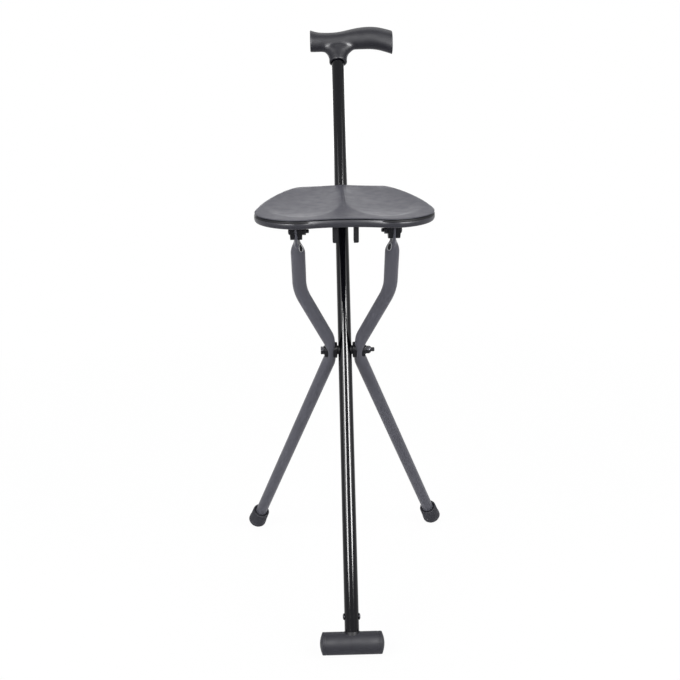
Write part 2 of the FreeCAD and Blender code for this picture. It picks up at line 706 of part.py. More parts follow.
def make_ear(inner, outer):
    """One ear of a seat lug: a rounded tongue under the floor of the base."""
    root = rounded_profile(((-EAR_ROOT, SEAT_FLOOR + 0.5), (-EAR_RADIUS * 0.96, -EAR_RADIUS * 0.28),
                            (EAR_RADIUS * 0.96, -EAR_RADIUS * 0.28), (EAR_ROOT, SEAT_FLOOR + 0.5)),
                           inner, outer)
    ear = root.fuse(x_bar(EAR_RADIUS, inner, outer, 0, 0, TUBE_SIDES)).removeSplitter()
    return ear.cut(x_bore(PIN_RADIUS, inner - 1, outer + 1))


def make_clip():
    """The clip that holds the folded seat to the stick: two prongs with a square throat."""
    half_gap = TUBE_RADIUS + SLIDE_GAP
    half = half_gap + CLIP_THICKNESS
    clip = box(-half, half, CLIP_START, CLIP_START + CLIP_LENGTH, -CLIP_DROP, SEAT_FLOOR + 0.5)
    tips = [edge for edge in clip.Edges
            if edge.BoundBox.XLength < 0.01 and edge.BoundBox.ZLength < 0.01 and edge.BoundBox.ZMax < 0]
    clip = clip.makeFillet(1.6, tips)
    return clip.cut(box(-half_gap, half_gap, CLIP_START - 1, CLIP_START + CLIP_LENGTH + 1,
                        -CLIP_DROP - 1, CLIP_ROOF))


def make_cheek():
    """The right hook: a plate beside the stick, with the guide pin's boss and a slot that drops
    over the stop pin."""
    inner = TUBE_RADIUS + SLIDE_GAP
    outer = inner + CHEEK_THICKNESS
    hook = tangent_hull(stop_place, CHEEK_HOOK, guide_place, CHEEK_BOSS, inner, outer)
    neck = rounded_profile(((SEAT_FAR - 40, SEAT_FLOOR + 0.5),
                            (stop_place.y - CHEEK_HOOK + 1.2, stop_place.z + 3),
                            (guide_place.y + CHEEK_BOSS * 0.98, guide_place.z + 1.2),
                            (SEAT_FAR - 1.0, SEAT_BOTTOM + 0.5), (SEAT_FAR - 4.0, SEAT_FLOOR + 0.5)),
                           inner, outer)
    cheek = hook.fuse(neck)
    slot_radius = STOP_RADIUS + SIDE_GAP
    mouth = rounded_profile(((-slot_radius, 0), (slot_radius, 0), (slot_radius + 0.8, -CHEEK_HOOK * 2),
                             (-slot_radius - 0.8, -CHEEK_HOOK * 2)), inner - 1, outer + 1)
    slot = mouth.fuse(x_cylinder(slot_radius, inner - 1, outer + 1))
    slot.rotate(ORIGIN, X_AXIS, -STICK_LEAN - SEAT_RISE)
    slot.translate(stop_place)
    cheek = cheek.cut(slot).removeSplitter()
    return cheek.cut(x_bore(GUIDE_RADIUS, inner - 1, outer + 1, guide_place.y, guide_place.z))


def make_seat_base():
    """The lower moulding: a beaded rim round a ribbed floor, with lugs, clip and hooks."""
    base = outline_stack(((3.2, SEAT_BOTTOM), (0.4, SEAT_BOTTOM + 2.2), (0.2, SEAT_BOTTOM + 5.0),
                          (2.2, SEAT_JOINT)))
    base = base.cut(pocket_block(0.0, SEAT_SKIN, SEAT_TOP))
    rib_bottom = SEAT_FLOOR - RIB_DROP
    ribs = []
    for x in (-76.0, -34.0, 34.0, 76.0):
        ribs.append(box(x - RIB_THICKNESS / 2, x + RIB_THICKNESS / 2, -60, 200, rib_bottom, SEAT_FLOOR))
    for y in (48.0, 100.0):
        ribs.append(box(-120, 120, y - RIB_THICKNESS / 2, y + RIB_THICKNESS / 2, rib_bottom, SEAT_FLOOR))
    hollow = outline_slab(3.2 + SEAT_WALL, SEAT_BOTTOM - 1, SEAT_FLOOR)
    base = base.cut(hollow.cut(Part.makeCompound(ribs)))
    cheek = make_cheek()
    right_ears = [make_ear(ear_inner, ear_inner + EAR_THICKNESS),
                  make_ear(ear_outer - EAR_THICKNESS, ear_outer)]
    left_ears = [mirrored(ear) for ear in right_ears]
    return base.fuse(right_ears + left_ears + [make_clip(), cheek, mirrored(cheek)]).removeSplitter()


def make_seat_bolt():
    """The right seat bolt: button head outside, thread end inside."""
    end = ear_inner - PIN_NUT_HEIGHT - PIN_TAIL
    shank = x_cylinder(PIN_RADIUS, end, ear_outer)
    return shank.fuse(button(PIN_HEAD_RADIUS, PIN_HEAD_HEIGHT, ear_outer, 1))


def make_seat_nut():
    """The right seat bolt's nut, on the inner ear."""
    nut = hexagon(PIN_NUT_FLATS, ear_inner - PIN_NUT_HEIGHT, ear_inner)
    return nut.cut(x_bore(PIN_RADIUS, ear_inner - PIN_NUT_HEIGHT - 1, ear_inner + 1))


cheek_outer = TUBE_RADIUS + SLIDE_GAP + CHEEK_THICKNESS


def make_guide_pin():
    """The pin behind the stick that keeps the seat on it, with its left-hand head."""
    pin = x_bar(GUIDE_RADIUS, -cheek_outer, cheek_outer + 2.0, guide_place.y, guide_place.z)
    return pin.fuse(button(GUIDE_HEAD_RADIUS, GUIDE_HEAD_HEIGHT, -cheek_outer, -1,
                           guide_place.y, guide_place.z))


def make_guide_cap():
    """The push-on cap on the guide pin's right end."""
    cap = button(GUIDE_HEAD_RADIUS, GUIDE_HEAD_HEIGHT + 1.2, cheek_outer, 1, guide_place.y, guide_place.z)
    return cap.cut(x_bore(GUIDE_RADIUS, cheek_outer - 1, cheek_outer + 2.0, guide_place.y, guide_place.z))


leg = make_leg()
leg_form = leg_body(0.0)
ferrule = make_ferrule()
disc = make_disc()
inner_saddle = make_saddle(leg_form, False)
outer_saddle = make_saddle(leg_form, True)
washer = make_washer()
spacer = make_spacer()
seat_bolt = make_seat_bolt()
seat_nut = make_seat_nut()

nodes = {
    "shaft_tube": on_stick(make_shaft()),
    "handle": on_stick(make_handle()),
    "t_foot": on_stick(make_foot()),
    "foot_core": on_stick(make_core()),
    "foot_rivet": on_stick(make_rivet()),
    "stop_pin": on_stick(make_stop_pin()),
    "right_spacer": on_stick(spacer),
    "left_spacer": on_stick(mirrored(spacer)),
    "right_leg": on_legs(leg),
    "left_leg": on_legs(mirrored(leg)),
    "right_ferrule": on_legs(ferrule),
    "left_ferrule": on_legs(mirrored(ferrule)),
    "right_ferrule_disc": on_legs(disc),
    "left_ferrule_disc": on_legs(mirrored(disc)),
    "right_inner_saddle": on_legs(inner_saddle),
    "left_inner_saddle": on_legs(mirrored(inner_saddle)),
    "right_outer_saddle": on_legs(outer_saddle),
    "left_outer_saddle": on_legs(mirrored(outer_saddle)),
    "right_pivot_washer": on_legs(washer),
    "left_pivot_washer": on_legs(mirrored(washer)),
    "pivot_bolt": on_legs(make_pivot_bolt()),
    "pivot_nut": on_legs(make_pivot_nut()),
    "seat_top": on_seat(make_seat_top()),
    "seat_base": on_seat(make_seat_base()),
    "right_seat_bolt": on_seat(seat_bolt),
    "left_seat_bolt": on_seat(mirrored(seat_bolt)),
    "right_seat_nut": on_seat(seat_nut),
    "left_seat_nut": on_seat(mirrored(seat_nut)),
    "guide_pin": on_seat(make_guide_pin()),
    "guide_cap": on_seat(make_guide_cap()),
}

# What stands on the floor is cut level with it
below = box(-400, 400, -400, 400, -40, 0)
for name in ("t_foot", "right_ferrule", "left_ferrule"):
    nodes[name] = nodes[name].cut(below)

whole = FreeCAD.BoundBox()
for shape in nodes.values():
    whole.add(shape.optimalBoundingBox())
shift = vec(-whole.Center.x, -whole.Center.y, -whole.ZMin)

os.makedirs("parts", exist_ok=True)
for name, shape in nodes.items():
    shape.translate(shift)
    shape.exportStep("parts/" + name + ".step")
    box_now = shape.BoundBox
    print(name, "solids", len(shape.Solids), "valid", shape.isValid(), "volume", round(shape.Volume, 1),
          "z", round(box_now.ZMin, 2), round(box_now.ZMax, 2))

legs_axis = vec(0, 0, pivot_height) + shift
seat_axis = seat_place() + shift
foot_axis = vec(0, -FOOT_DROP * math.sin(math.radians(STICK_LEAN)), 0) + shift
print("pivot", legs_axis)
print("seat bolts", seat_axis)
print("foot", foot_axis)
print("fold", STICK_LEAN + LEGS_LEAN, "seat turn", 180 - (90 - LEGS_LEAN) - SEAT_RISE)
print("size", whole.XLength, whole.YLength, whole.ZLength)
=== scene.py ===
"""The looks of a walking stick that opens into a three-legged seat.

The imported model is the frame. Shapes are drawn in millimetres, each in its body's own upright
frame, and carried from there to the open pose.
"""

import json
import logging
import math
from collections.abc import Sequence
from dataclasses import dataclass, field
from enum import Enum
from typing import Any, ClassVar

import bmesh
import bpy
from mathutils import Matrix, Vector


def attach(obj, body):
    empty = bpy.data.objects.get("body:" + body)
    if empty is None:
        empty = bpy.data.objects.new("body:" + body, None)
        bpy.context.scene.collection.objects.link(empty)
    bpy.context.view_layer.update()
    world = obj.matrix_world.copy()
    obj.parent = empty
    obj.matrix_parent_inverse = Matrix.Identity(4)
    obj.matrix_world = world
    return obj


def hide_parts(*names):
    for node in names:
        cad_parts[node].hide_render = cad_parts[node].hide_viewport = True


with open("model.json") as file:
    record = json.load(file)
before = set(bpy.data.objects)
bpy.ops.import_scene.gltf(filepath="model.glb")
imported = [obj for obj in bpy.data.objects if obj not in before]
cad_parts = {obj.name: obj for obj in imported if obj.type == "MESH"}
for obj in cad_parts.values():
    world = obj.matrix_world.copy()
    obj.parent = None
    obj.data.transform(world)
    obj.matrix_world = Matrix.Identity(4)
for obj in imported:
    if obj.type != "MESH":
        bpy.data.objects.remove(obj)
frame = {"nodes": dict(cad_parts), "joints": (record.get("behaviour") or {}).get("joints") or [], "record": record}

log = logging.getLogger("stick_seat")

MM = 0.001
# Points nearer than this, in metres, become one
MERGE = 1e-6
X, Y, Z = Vector((1, 0, 0)), Vector((0, 1, 0)), Vector((0, 0, 1))
JOINTS = {joint["name"]: joint for joint in frame["joints"]}
PIVOT = Vector(JOINTS["legs_fold"]["pos_m"])
SEAT_AXIS = Vector(JOINTS["seat_fold"]["pos_m"])
FOOT_REST = Vector(frame["record"]["mounts"][0]["pos_m"])
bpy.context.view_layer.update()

Ring = list[Vector]
Profile = Sequence[tuple[float, float]]


class Body(Enum):
    """The three bodies that turn on one another."""

    STICK = "stick"
    LEGS = "legs"
    SEAT = "seat"

    @property
    def place(self) -> Matrix:
        """The way from the body's upright frame, in millimetres, to the open pose, in metres.

        Returns:
            The matrix.
        """
        fold = math.radians(JOINTS["legs_fold"]["range_deg"][1])
        seat_turn = math.radians(JOINTS["seat_fold"]["range_deg"][1])
        stick_lean = math.atan2(PIVOT.y - FOOT_REST.y, PIVOT.z - Foot.axis_height * MM)
        legs_lean = fold - stick_lean
        start, turn = {
            Body.STICK: (PIVOT, -stick_lean),
            Body.LEGS: (PIVOT, legs_lean),
            Body.SEAT: (SEAT_AXIS, math.pi / 2 + legs_lean - seat_turn),
        }[self]
        return Matrix.Translation(start) @ Matrix.Rotation(turn, 4, "X") @ Matrix.Scale(MM, 4)


# Finishes


def linear(code: str) -> tuple[float, float, float, float]:
    """Turns an sRGB hex colour to linear light.

    Args:
        code: six hex digits.

    Returns:
        Red, green, blue and an alpha of 1.
    """
    parts = [int(code[i : i + 2], 16) / 255 for i in (0, 2, 4)]
    red, green, blue = (c / 12.92 if c <= 0.04045 else ((c + 0.055) / 1.055) ** 2.4 for c in parts)
    return red, green, blue, 1.0


def add(tree: bpy.types.NodeTree, kind: str, feeds: dict[str | int, Any] | None = None,
        **settings: Any) -> Any:
    """Adds one shader node, sets it and joins its inputs.

    Args:
        tree: the material's node tree.
        kind: the node's type without its ShaderNode prefix.
        feeds: for an input's name or number, its value or the socket that feeds it.
        settings: the node's own properties.

    Returns:
        The node.
    """
    node = tree.nodes.new("ShaderNode" + kind)
    for name, value in settings.items():
        setattr(node, name, value)
    for name, value in (feeds or {}).items():
        if isinstance(value, bpy.types.NodeSocket):
            tree.links.new(value, node.inputs[name])
        else:
            node.inputs[name].default_value = value
    return node


class Grain(Enum):
    """The relief that each way of making leaves on a surface."""

    SPRAYED = "sprayed"
    POWDER = "powder coated"
    ETCHED = "etched mould"
    DRAWN = "turned or drawn"


@dataclass(frozen=True)
class Finish:
    """One material: what it is, how its surface was made, and how it looks.

    Sizes are in millimetres. Colours are sRGB hex values.
    """

    name: str
    colour: str
    shade: str
    grain: Grain
    grain_mm: float
    relief_mm: float
    roughness: tuple[float, float]
    patch_mm: float = 40.0
    metallic: float = 0.0
    specular: float = 0.5
    edge_colour: str = ""
    edge_mm: float = 0.5
    edge_amount: float = 0.0

    # The part of its range that a noise really fills
    noise_range: ClassVar[tuple[float, float]] = (0.3, 0.7)
    # How far the rounded normal agrees with the flat one where wear starts and where it is full
    wear_range: ClassVar[tuple[float, float]] = (0.97, 0.80)
    # How large a smudge is, as a share of a patch
    smudge_share: ClassVar[float] = 0.3
    # How much drawing marks are stretched along the bar
    drawn_stretch: ClassVar[float] = 0.04

    def relief(self, tree: bpy.types.NodeTree, place: bpy.types.NodeSocket) -> bpy.types.NodeSocket:
        """Draws the fine relief of the surface.

        Args:
            tree: the material's node tree.
            place: coordinates in metres.

        Returns:
            The relief's height, from 0 to 1.
        """
        scale = 1 / (self.grain_mm * MM)
        if self.grain is Grain.ETCHED:
            cells = add(tree, "TexVoronoi", {"Vector": place, "Scale": scale}, feature="SMOOTH_F1")
            return cells.outputs["Distance"]
        if self.grain is Grain.DRAWN:
            stretched = add(tree, "Mapping", {"Vector": place, "Scale": (1.0, 1.0, self.drawn_stretch)})
            place = stretched.outputs["Vector"]
        detail = 1.0 if self.grain is Grain.SPRAYED else 3.0
        clouds = add(tree, "TexNoise", {"Vector": place, "Scale": scale, "Detail": detail})
        return clouds.outputs["Fac"]

    def material(self) -> bpy.types.Material:
        """Builds the material once and hands it out each time.

        Returns:
            The material.
        """
        known = bpy.data.materials.get(self.name)
        if known:
            return known
        made = bpy.data.materials.new(self.name)
        made.use_nodes = True
        tree = made.node_tree
        shader = tree.nodes["Principled BSDF"]
        place = add(tree, "TexCoord").outputs["Object"]
        patches = add(tree, "TexNoise", {"Vector": place, "Scale": 1 / (self.patch_mm * MM), "Detail": 4.0})
        colour = add(tree, "Mix", {0: patches.outputs["Fac"], 6: linear(self.colour),
                                   7: linear(self.shade)}, data_type="RGBA").outputs[2]
        if self.edge_amount:
            rounded = add(tree, "Bevel", {"Radius": self.edge_mm * MM}, samples=4)
            flat = add(tree, "NewGeometry")
            agree = add(tree, "VectorMath", {0: rounded.outputs["Normal"], 1: flat.outputs["Normal"]},
                        operation="DOT_PRODUCT")
            start, full = self.wear_range
            worn = add(tree, "MapRange", {"Value": agree.outputs["Value"], "From Min": start,
                                          "From Max": full, "To Max": self.edge_amount})
            colour = add(tree, "Mix", {0: worn.outputs["Result"], 6: colour, 7: linear(self.edge_colour)},
                         data_type="RGBA").outputs[2]
        smudge_mm = self.patch_mm * self.smudge_share
        smudges = add(tree, "TexNoise", {"Vector": place, "Scale": 1 / (smudge_mm * MM), "Detail": 5.0})
        (few, many), (low, high) = self.noise_range, self.roughness
        rough = add(tree, "MapRange", {"Value": smudges.outputs["Fac"], "From Min": few, "From Max": many,
                                       "To Min": low, "To Max": high})
        bump = add(tree, "Bump", {"Height": self.relief(tree, place), "Distance": self.relief_mm * MM})
        for name, source in (("Base Color", colour), ("Roughness", rough.outputs["Result"]),
                             ("Normal", bump.outputs["Normal"])):
            tree.links.new(source, shader.inputs[name])
        shader.inputs["Metallic"].default_value = self.metallic
        shader.inputs["Specular IOR Level"].default_value = self.specular
        return made


# After the kind of grain come its size and height in millimetres, and the range of roughness. Real
# grain is finer than 0.3 mm on all of these: it is drawn 0.3 to 1.1 mm coarse, or it would not show

# Gloss black enamel sprayed on drawn aluminium tube: near-black with long sharp highlights, which only
# a faint ripple 12 mm wide disturbs
GLOSS_ENAMEL = Finish("gloss_black_enamel", "0A0A0F", "0F0F14", Grain.SPRAYED, 12.0, 0.0002, (0.09, 0.11),
                      patch_mm=120.0, specular=0.18)
# Charcoal powder coat baked on steel tube: a soft broad sheen, lighter where it thins at edges
POWDER_COAT = Finish("charcoal_powder_coat", "4E4E56", "595961", Grain.POWDER, 0.5, 0.012, (0.3, 0.4),
                     specular=0.12, edge_colour="8A8A92", edge_amount=0.5)
# Polypropylene from an etched mould: dull charcoal with a fine pebbled grain
ETCHED_POLYPROPYLENE = Finish("etched_polypropylene", "3D3D46", "46464F", Grain.ETCHED, 1.1, 0.02,
                              (0.36, 0.46), specular=0.12, edge_colour="74747D", edge_amount=0.35)
# Polypropylene from a polished mould: smoother, with a clear line of light on its bead. Its darker colour is
# partly the moulding's own and partly painted shade for the rim under the seat's lip
POLISHED_POLYPROPYLENE_WITH_PAINTED_SHADE = Finish("polished_polypropylene_with_painted_shade", "2C2C33", "35353C", Grain.POWDER, 0.8, 0.006,
                                (0.3, 0.38), specular=0.2, edge_colour="66666E", edge_amount=0.3)
# Nylon moulded in smooth steel: black, waxy, with dim reflections. It also gives the painted shade in the crimped
# folds
MOULDED_NYLON = Finish("moulded_nylon", "131317", "1A1A1F", Grain.POWDER, 0.6, 0.008, (0.42, 0.54),
                       specular=0.09, edge_colour="34343A", edge_mm=0.4, edge_amount=0.25)
# ABS grip, spark-eroded mould: dark grey with a satin sheen
MOULDED_ABS = Finish("spark_eroded_abs", "202026", "27272E", Grain.ETCHED, 0.9, 0.006, (0.34, 0.42),
                     specular=0.17, edge_colour="505057", edge_mm=0.6, edge_amount=0.25)
# Styrene rubber moulded and lightly dusty: grey-black, almost no shine
MOULDED_RUBBER = Finish("moulded_rubber", "2F2F35", "3A3A40", Grain.POWDER, 0.8, 0.02, (0.46, 0.6),
                        specular=0.08, edge_colour="5C5C63", edge_mm=0.6, edge_amount=0.4)
# Carbon steel blackened in an oxide bath: dark metal with a dim sheen
BLACK_OXIDE_STEEL = Finish("black_oxide_steel", "1A1A1D", "252529", Grain.DRAWN, 0.4, 0.004, (0.28, 0.4),
                           metallic=0.85, edge_colour="8A8A90", edge_mm=0.25, edge_amount=0.5)
# Steel left bare where the crimped tube was cut: a thin bright edge
CUT_STEEL = Finish("cut_bare_steel", "B9B9BC", "D0D0D2", Grain.DRAWN, 0.3, 0.004, (0.3, 0.42), metallic=0.7)


# Shapes


def oval(centre: Vector, ahead: Vector, across: Vector, half_across: float, half_deep: float, count: int,
         power: float = 2.0) -> Ring:
    """Draws a ring across a bar.

    Args:
        centre: the ring's middle.
        ahead: the way the bar runs.
        across: the direction of the first half-width.
        half_across: half the width along across.
        half_deep: half the width square to it.
        count: how many points.
        power: 2 for an ellipse, more for a squarer ring.

    Returns:
        The ring's points.
    """
    deep = ahead.cross(across)
    points = []
    for step in range(count):
        angle = 2 * math.pi * step / count
        cos, sin = math.cos(angle), math.sin(angle)
        side = math.copysign(abs(cos) ** (2 / power), cos) * half_across
        depth = math.copysign(abs(sin) ** (2 / power), sin) * half_deep
        points.append(centre + across * side + deep * depth)
    return points


def eased(rows: Sequence[Sequence[float]], share: float) -> list[float]:
    """Reads a table at a share of its length, on a smooth curve through its rows.

    Args:
        rows: the table.
        share: 0 at the first row and 1 at the last.

    Returns:
        The values there.
    """
    spans = len(rows) - 1
    place = min(int(share * spans), spans - 1)
    part = share * spans - place
    before, start, end, after = (rows[min(max(place + k, 0), spans)] for k in (-1, 0, 1, 2))
    values = []
    for a, b, c, d in zip(before, start, end, after):
        slope_in, slope_out = (c - a) / 2, (d - b) / 2
        values.append(b + slope_in * part + (3 * (c - b) - 2 * slope_in - slope_out) * part**2
                      + (2 * (b - c) + slope_in + slope_out) * part**3)
    return values


def smooth(share: float) -> float:
    """A share from 0 to 1 that starts and ends gently."""
    share = min(max(share, 0.0), 1.0)
    return share * share * (3 - 2 * share)


@dataclass
class Shape:
    """Points and faces gathered in a body's frame, in millimetres."""

    points: list[Vector] = field(default_factory=list)
    faces: list[tuple[int, ...]] = field(default_factory=list)

    def skin(self, rings: Sequence[Ring], capped: bool = True, looped: bool = False) -> "Shape":
        """Joins rings of equally many points.

        Args:
            rings: the rings, in order.
            capped: whether the first and last ring are filled.
            looped: whether the last ring joins back to the first.

        Returns:
            This shape.
        """
        start, count = len(self.points), len(rings[0])
        for ring in rings:
            self.points.extend(ring)
        last = len(rings) if looped else len(rings) - 1
        for i in range(last):
            a, b = start + i * count, start + (i + 1) % len(rings) * count
            for j in range(count):
                k = (j + 1) % count
                self.faces.append((a + j, a + k, b + k, b + j))
        if capped and not looped:
            self.faces.append(tuple(range(start + count - 1, start - 1, -1)))
            self.faces.append(tuple(range(start + (len(rings) - 1) * count, start + len(rings) * count)))
        return self

    def lathe(self, profile: Profile, axis: Vector, centre: Vector | None = None, sides: int = 48,
              looped: bool = False) -> "Shape":
        """Turns a profile round an axis.

        Args:
            profile: pairs of place along the axis and radius.
            axis: the axis's direction.
            centre: where the axis starts.
            sides: how many points go round.
            looped: whether the profile closes on itself, as it does for a pipe.

        Returns:
            This shape.
        """
        across = X if abs(axis.x) < 0.5 else Z
        middle = centre or Vector()
        return self.skin([oval(middle + axis * place, axis, across, radius, radius, sides)
                          for place, radius in profile], looped=looped)

    def hexagon(self, flats: float, start: float, end: float) -> "Shape":
        """Adds a hexagon head along X, its corners bevelled by a cone at both ends.

        Args:
            flats: its width across flats.
            start: where it starts on the axis.
            end: where it ends.

        Returns:
            This shape.
        """
        sides, cone, bevel = 60, 0.93, (end - start) * 0.09
        corner, half_flat = flats / math.sqrt(3), math.pi / 6
        rings = []
        for place, limit in ((start, cone), (start + bevel, 1.0), (end - bevel, 1.0), (end, cone)):
            ring = []
            for step in range(sides):
                angle = 2 * math.pi * step / sides
                face = math.cos(half_flat) / math.cos((angle + half_flat) % (2 * half_flat) - half_flat)
                radius = corner * min(face, limit)
                ring.append(Vector((place, radius * math.cos(angle), radius * math.sin(angle))))
            rings.append(ring)
        return self.skin(rings)

    def mirrored(self) -> "Shape":
        """Gives the shape on the left side."""
        return Shape([Vector((-p.x, p.y, p.z)) for p in self.points], [face[::-1] for face in self.faces])

    def both_sides(self) -> "Shape":
        """Gives the shape together with its mirror image."""
        start, left = len(self.points), self.mirrored()
        return Shape(self.points + left.points,
                     self.faces + [tuple(start + i for i in face) for face in left.faces])

    def moved(self, change: Matrix) -> "Shape":
        """Carries the shape by a matrix and returns it."""
        self.points = [change @ p for p in self.points]
        return self

    def mesh(self, name: str, place: Matrix) -> bpy.types.Mesh:
        """Makes the mesh in the open pose, with nothing below the floor.

        Args:
            name: the mesh's name.
            place: the way from the body's frame to the open pose.

        Returns:
            The mesh.
        """
        spots = [place @ p for p in self.points]
        mesh = bpy.data.meshes.new(name)
        mesh.from_pydata([(p.x, p.y, max(p.z, 0.0)) for p in spots], [], self.faces)
        build = bmesh.new()
        build.from_mesh(mesh)
        bmesh.ops.remove_doubles(build, verts=build.verts, dist=MERGE)
        bmesh.ops.recalc_face_normals(build, faces=build.faces)
        build.to_mesh(mesh)
        build.free()
        return mesh


def fit(name: str, shape: Shape, body: Body, finish: Finish, nodes: Sequence[str] = (),
        sharp: float = 35.0) -> bpy.types.Object:
    """Makes one piece of the object and sets it on its body.

    Args:
        name: the piece's name.
        shape: its form in the body's frame.
        body: the body that it rides on.
        finish: its material.
        nodes: the CAD nodes that it stands for.
        sharp: edges steeper than this many degrees stay sharp.

    Returns:
        The piece.
    """
    piece = bpy.data.objects.new(name, shape.mesh(name, body.place))
    bpy.context.scene.collection.objects.link(piece)
    dress(piece, finish, sharp)
    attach(piece, body.value)
    if nodes:
        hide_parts(*nodes)
    log.info("%s: %d points, %s, rides on %s", name, len(piece.data.vertices), finish.name, body.value)
    return piece


def dress(piece: bpy.types.Object, finish: Finish, sharp: float = 35.0) -> None:
    """Gives a piece its material and its shading.

    Args:
        piece: the object.
        finish: its material.
        sharp: edges steeper than this many degrees stay sharp.
    """
    piece.data.materials.clear()
    piece.data.materials.append(finish.material())
    for face in piece.data.polygons:
        face.use_smooth = True
        face.material_index = 0
    piece.data.set_sharp_from_angle(angle=math.radians(sharp))


def button_profile(radius: float, rise: float, start: float) -> list[tuple[float, float]]:
    """Draws half the section of a domed head.

    Args:
        radius: the head's radius.
        rise: its height.
        start: where it sits on the axis.

    Returns:
        Pairs of place along the axis and radius.
    """
    sink, root, foot, steps, roundness = 1.5, 0.6, 0.12, 8, 0.8
    profile = [(start - sink, radius * root), (start, radius * 0.98), (start + rise * foot, radius)]
    for step in range(1, steps):
        angle = step / steps * math.pi / 2
        profile.append((start + rise * (foot + (1 - foot) * math.sin(angle)),
                        radius * math.cos(angle) ** roundness))
    return profile


def thread(shape: Shape, start: float, end: float, radius: float, pitch: float = 1.0) -> None:
    """Adds a screw thread along X with a rounded tip.

    Args:
        shape: the shape that gets it.
        start: where the thread starts.
        end: where it ends.
        radius: its outer radius.
        pitch: from crest to crest.
    """
    depth, tip, tip_inset = 0.35, 0.6, 1.0
    way = 1 if end > start else -1
    profile = [(start + way * step * pitch / 2, radius if step % 2 else radius - depth)
               for step in range(int(abs(end - start) / pitch * 2))]
    profile += [(end - way * tip, radius - depth), (end, radius - tip_inset)]
    shape.lathe(profile, X, sides=32)


# The stick


@dataclass
class Foot:
    """The rubber cross bar at the foot of the stick."""

    drop: float = 370.0
    radius: float = 13.5
    length: float = 79.5
    dome: float = 2.6
    edge: float = 1.5
    groove_inset: float = 5.0
    groove_half: float = 0.45
    groove_depth: float = 0.3
    line_foot: float = 0.35
    line_top: float = 0.12
    line_rise: float = 0.05
    collar: float = 9.8
    collar_height: float = 0.5
    axis_height: ClassVar[float] = 13.1

    def build(self) -> None:
        """Makes the bar with its domed ends, grooves, mould line and collar."""
        straight, cap = self.length / 2 - self.dome, self.radius - self.edge
        profile = [(straight + self.dome * (1 - share**2), cap * share)
                   for share in (0.12, 0.3, 0.5, 0.7, 0.86, 1.0)]
        for turn in (0.25, 0.5, 0.75, 1.0):
            angle = turn * math.pi / 2
            profile.append((straight - self.edge * (1 - math.cos(angle)),
                            cap + self.edge * math.sin(angle)))
        groove = straight - self.groove_inset
        profile += [(groove + self.groove_half, self.radius), (groove, self.radius - self.groove_depth),
                    (groove - self.groove_half, self.radius), (self.line_foot, self.radius),
                    (self.line_top, self.radius + self.line_rise)]
        whole = profile + [(-place, radius) for place, radius in reversed(profile)]
        bar = Shape().lathe(whole, X, Vector((0, 0, -self.drop)), sides=64)
        fit("foot_bar", bar, Body.STICK, MOULDED_RUBBER, ["t_foot"])
        wide, top = self.collar, self.radius + self.collar_height - self.drop
        # The collar's wall, its rounded rim and its flat top, which ends inside the tube's wall
        collar = Shape().lathe(((-self.drop, wide), (top - 0.9, wide), (top - 0.3, wide - 0.2),
                                (top, wide - 0.6), (top, Shaft.radius - 0.5)), Z)
        fit("foot_collar", collar, Body.STICK, MOULDED_NYLON)
        dress(frame["nodes"]["foot_core"], MOULDED_NYLON)


@dataclass
class Shaft:
    """The long tube and the pins through it."""

    radius: ClassVar[float] = 9.0
    wall: float = 1.5
    chamfer: float = 0.3
    bottom: float = -363.0
    top: float = 454.0
    rivet_height: float = -339.0
    rivet_radius: float = 4.1
    rivet_rise: float = 2.0
    spacer_radius: float = 6.0
    spacer_start: float = 5.0
    spacer_face: float = 10.15
    spacer_bore: float = 3.2

    def build(self) -> None:
        """Makes the tube, the rivet's heads, the spacers and the stop pin."""
        bore = self.radius - self.wall
        pipe = ((self.bottom, self.radius - self.chamfer), (self.bottom + self.chamfer, self.radius),
                (self.top, self.radius), (self.top, bore), (self.bottom, bore))
        fit("shaft", Shape().lathe(pipe, Z, sides=72, looped=True), Body.STICK, GLOSS_ENAMEL,
            ["shaft_tube"])
        heads = Shape().lathe(button_profile(self.rivet_radius, self.rivet_rise, self.radius), X,
                              Vector((0, 0, self.rivet_height)), sides=32)
        fit("foot_rivet_heads", heads.both_sides(), Body.STICK, BLACK_OXIDE_STEEL,
            ["foot_rivet"])
        spacer = Shape().lathe(((self.spacer_start, self.spacer_radius),
                                (self.spacer_face - self.chamfer, self.spacer_radius),
                                (self.spacer_face, self.spacer_radius - self.chamfer),
                                (self.spacer_face, self.spacer_bore)), X)
        fit("pivot_spacers", spacer.both_sides(), Body.STICK, MOULDED_NYLON,
            ["right_spacer", "left_spacer"])
        dress(frame["nodes"]["stop_pin"], BLACK_OXIDE_STEEL)


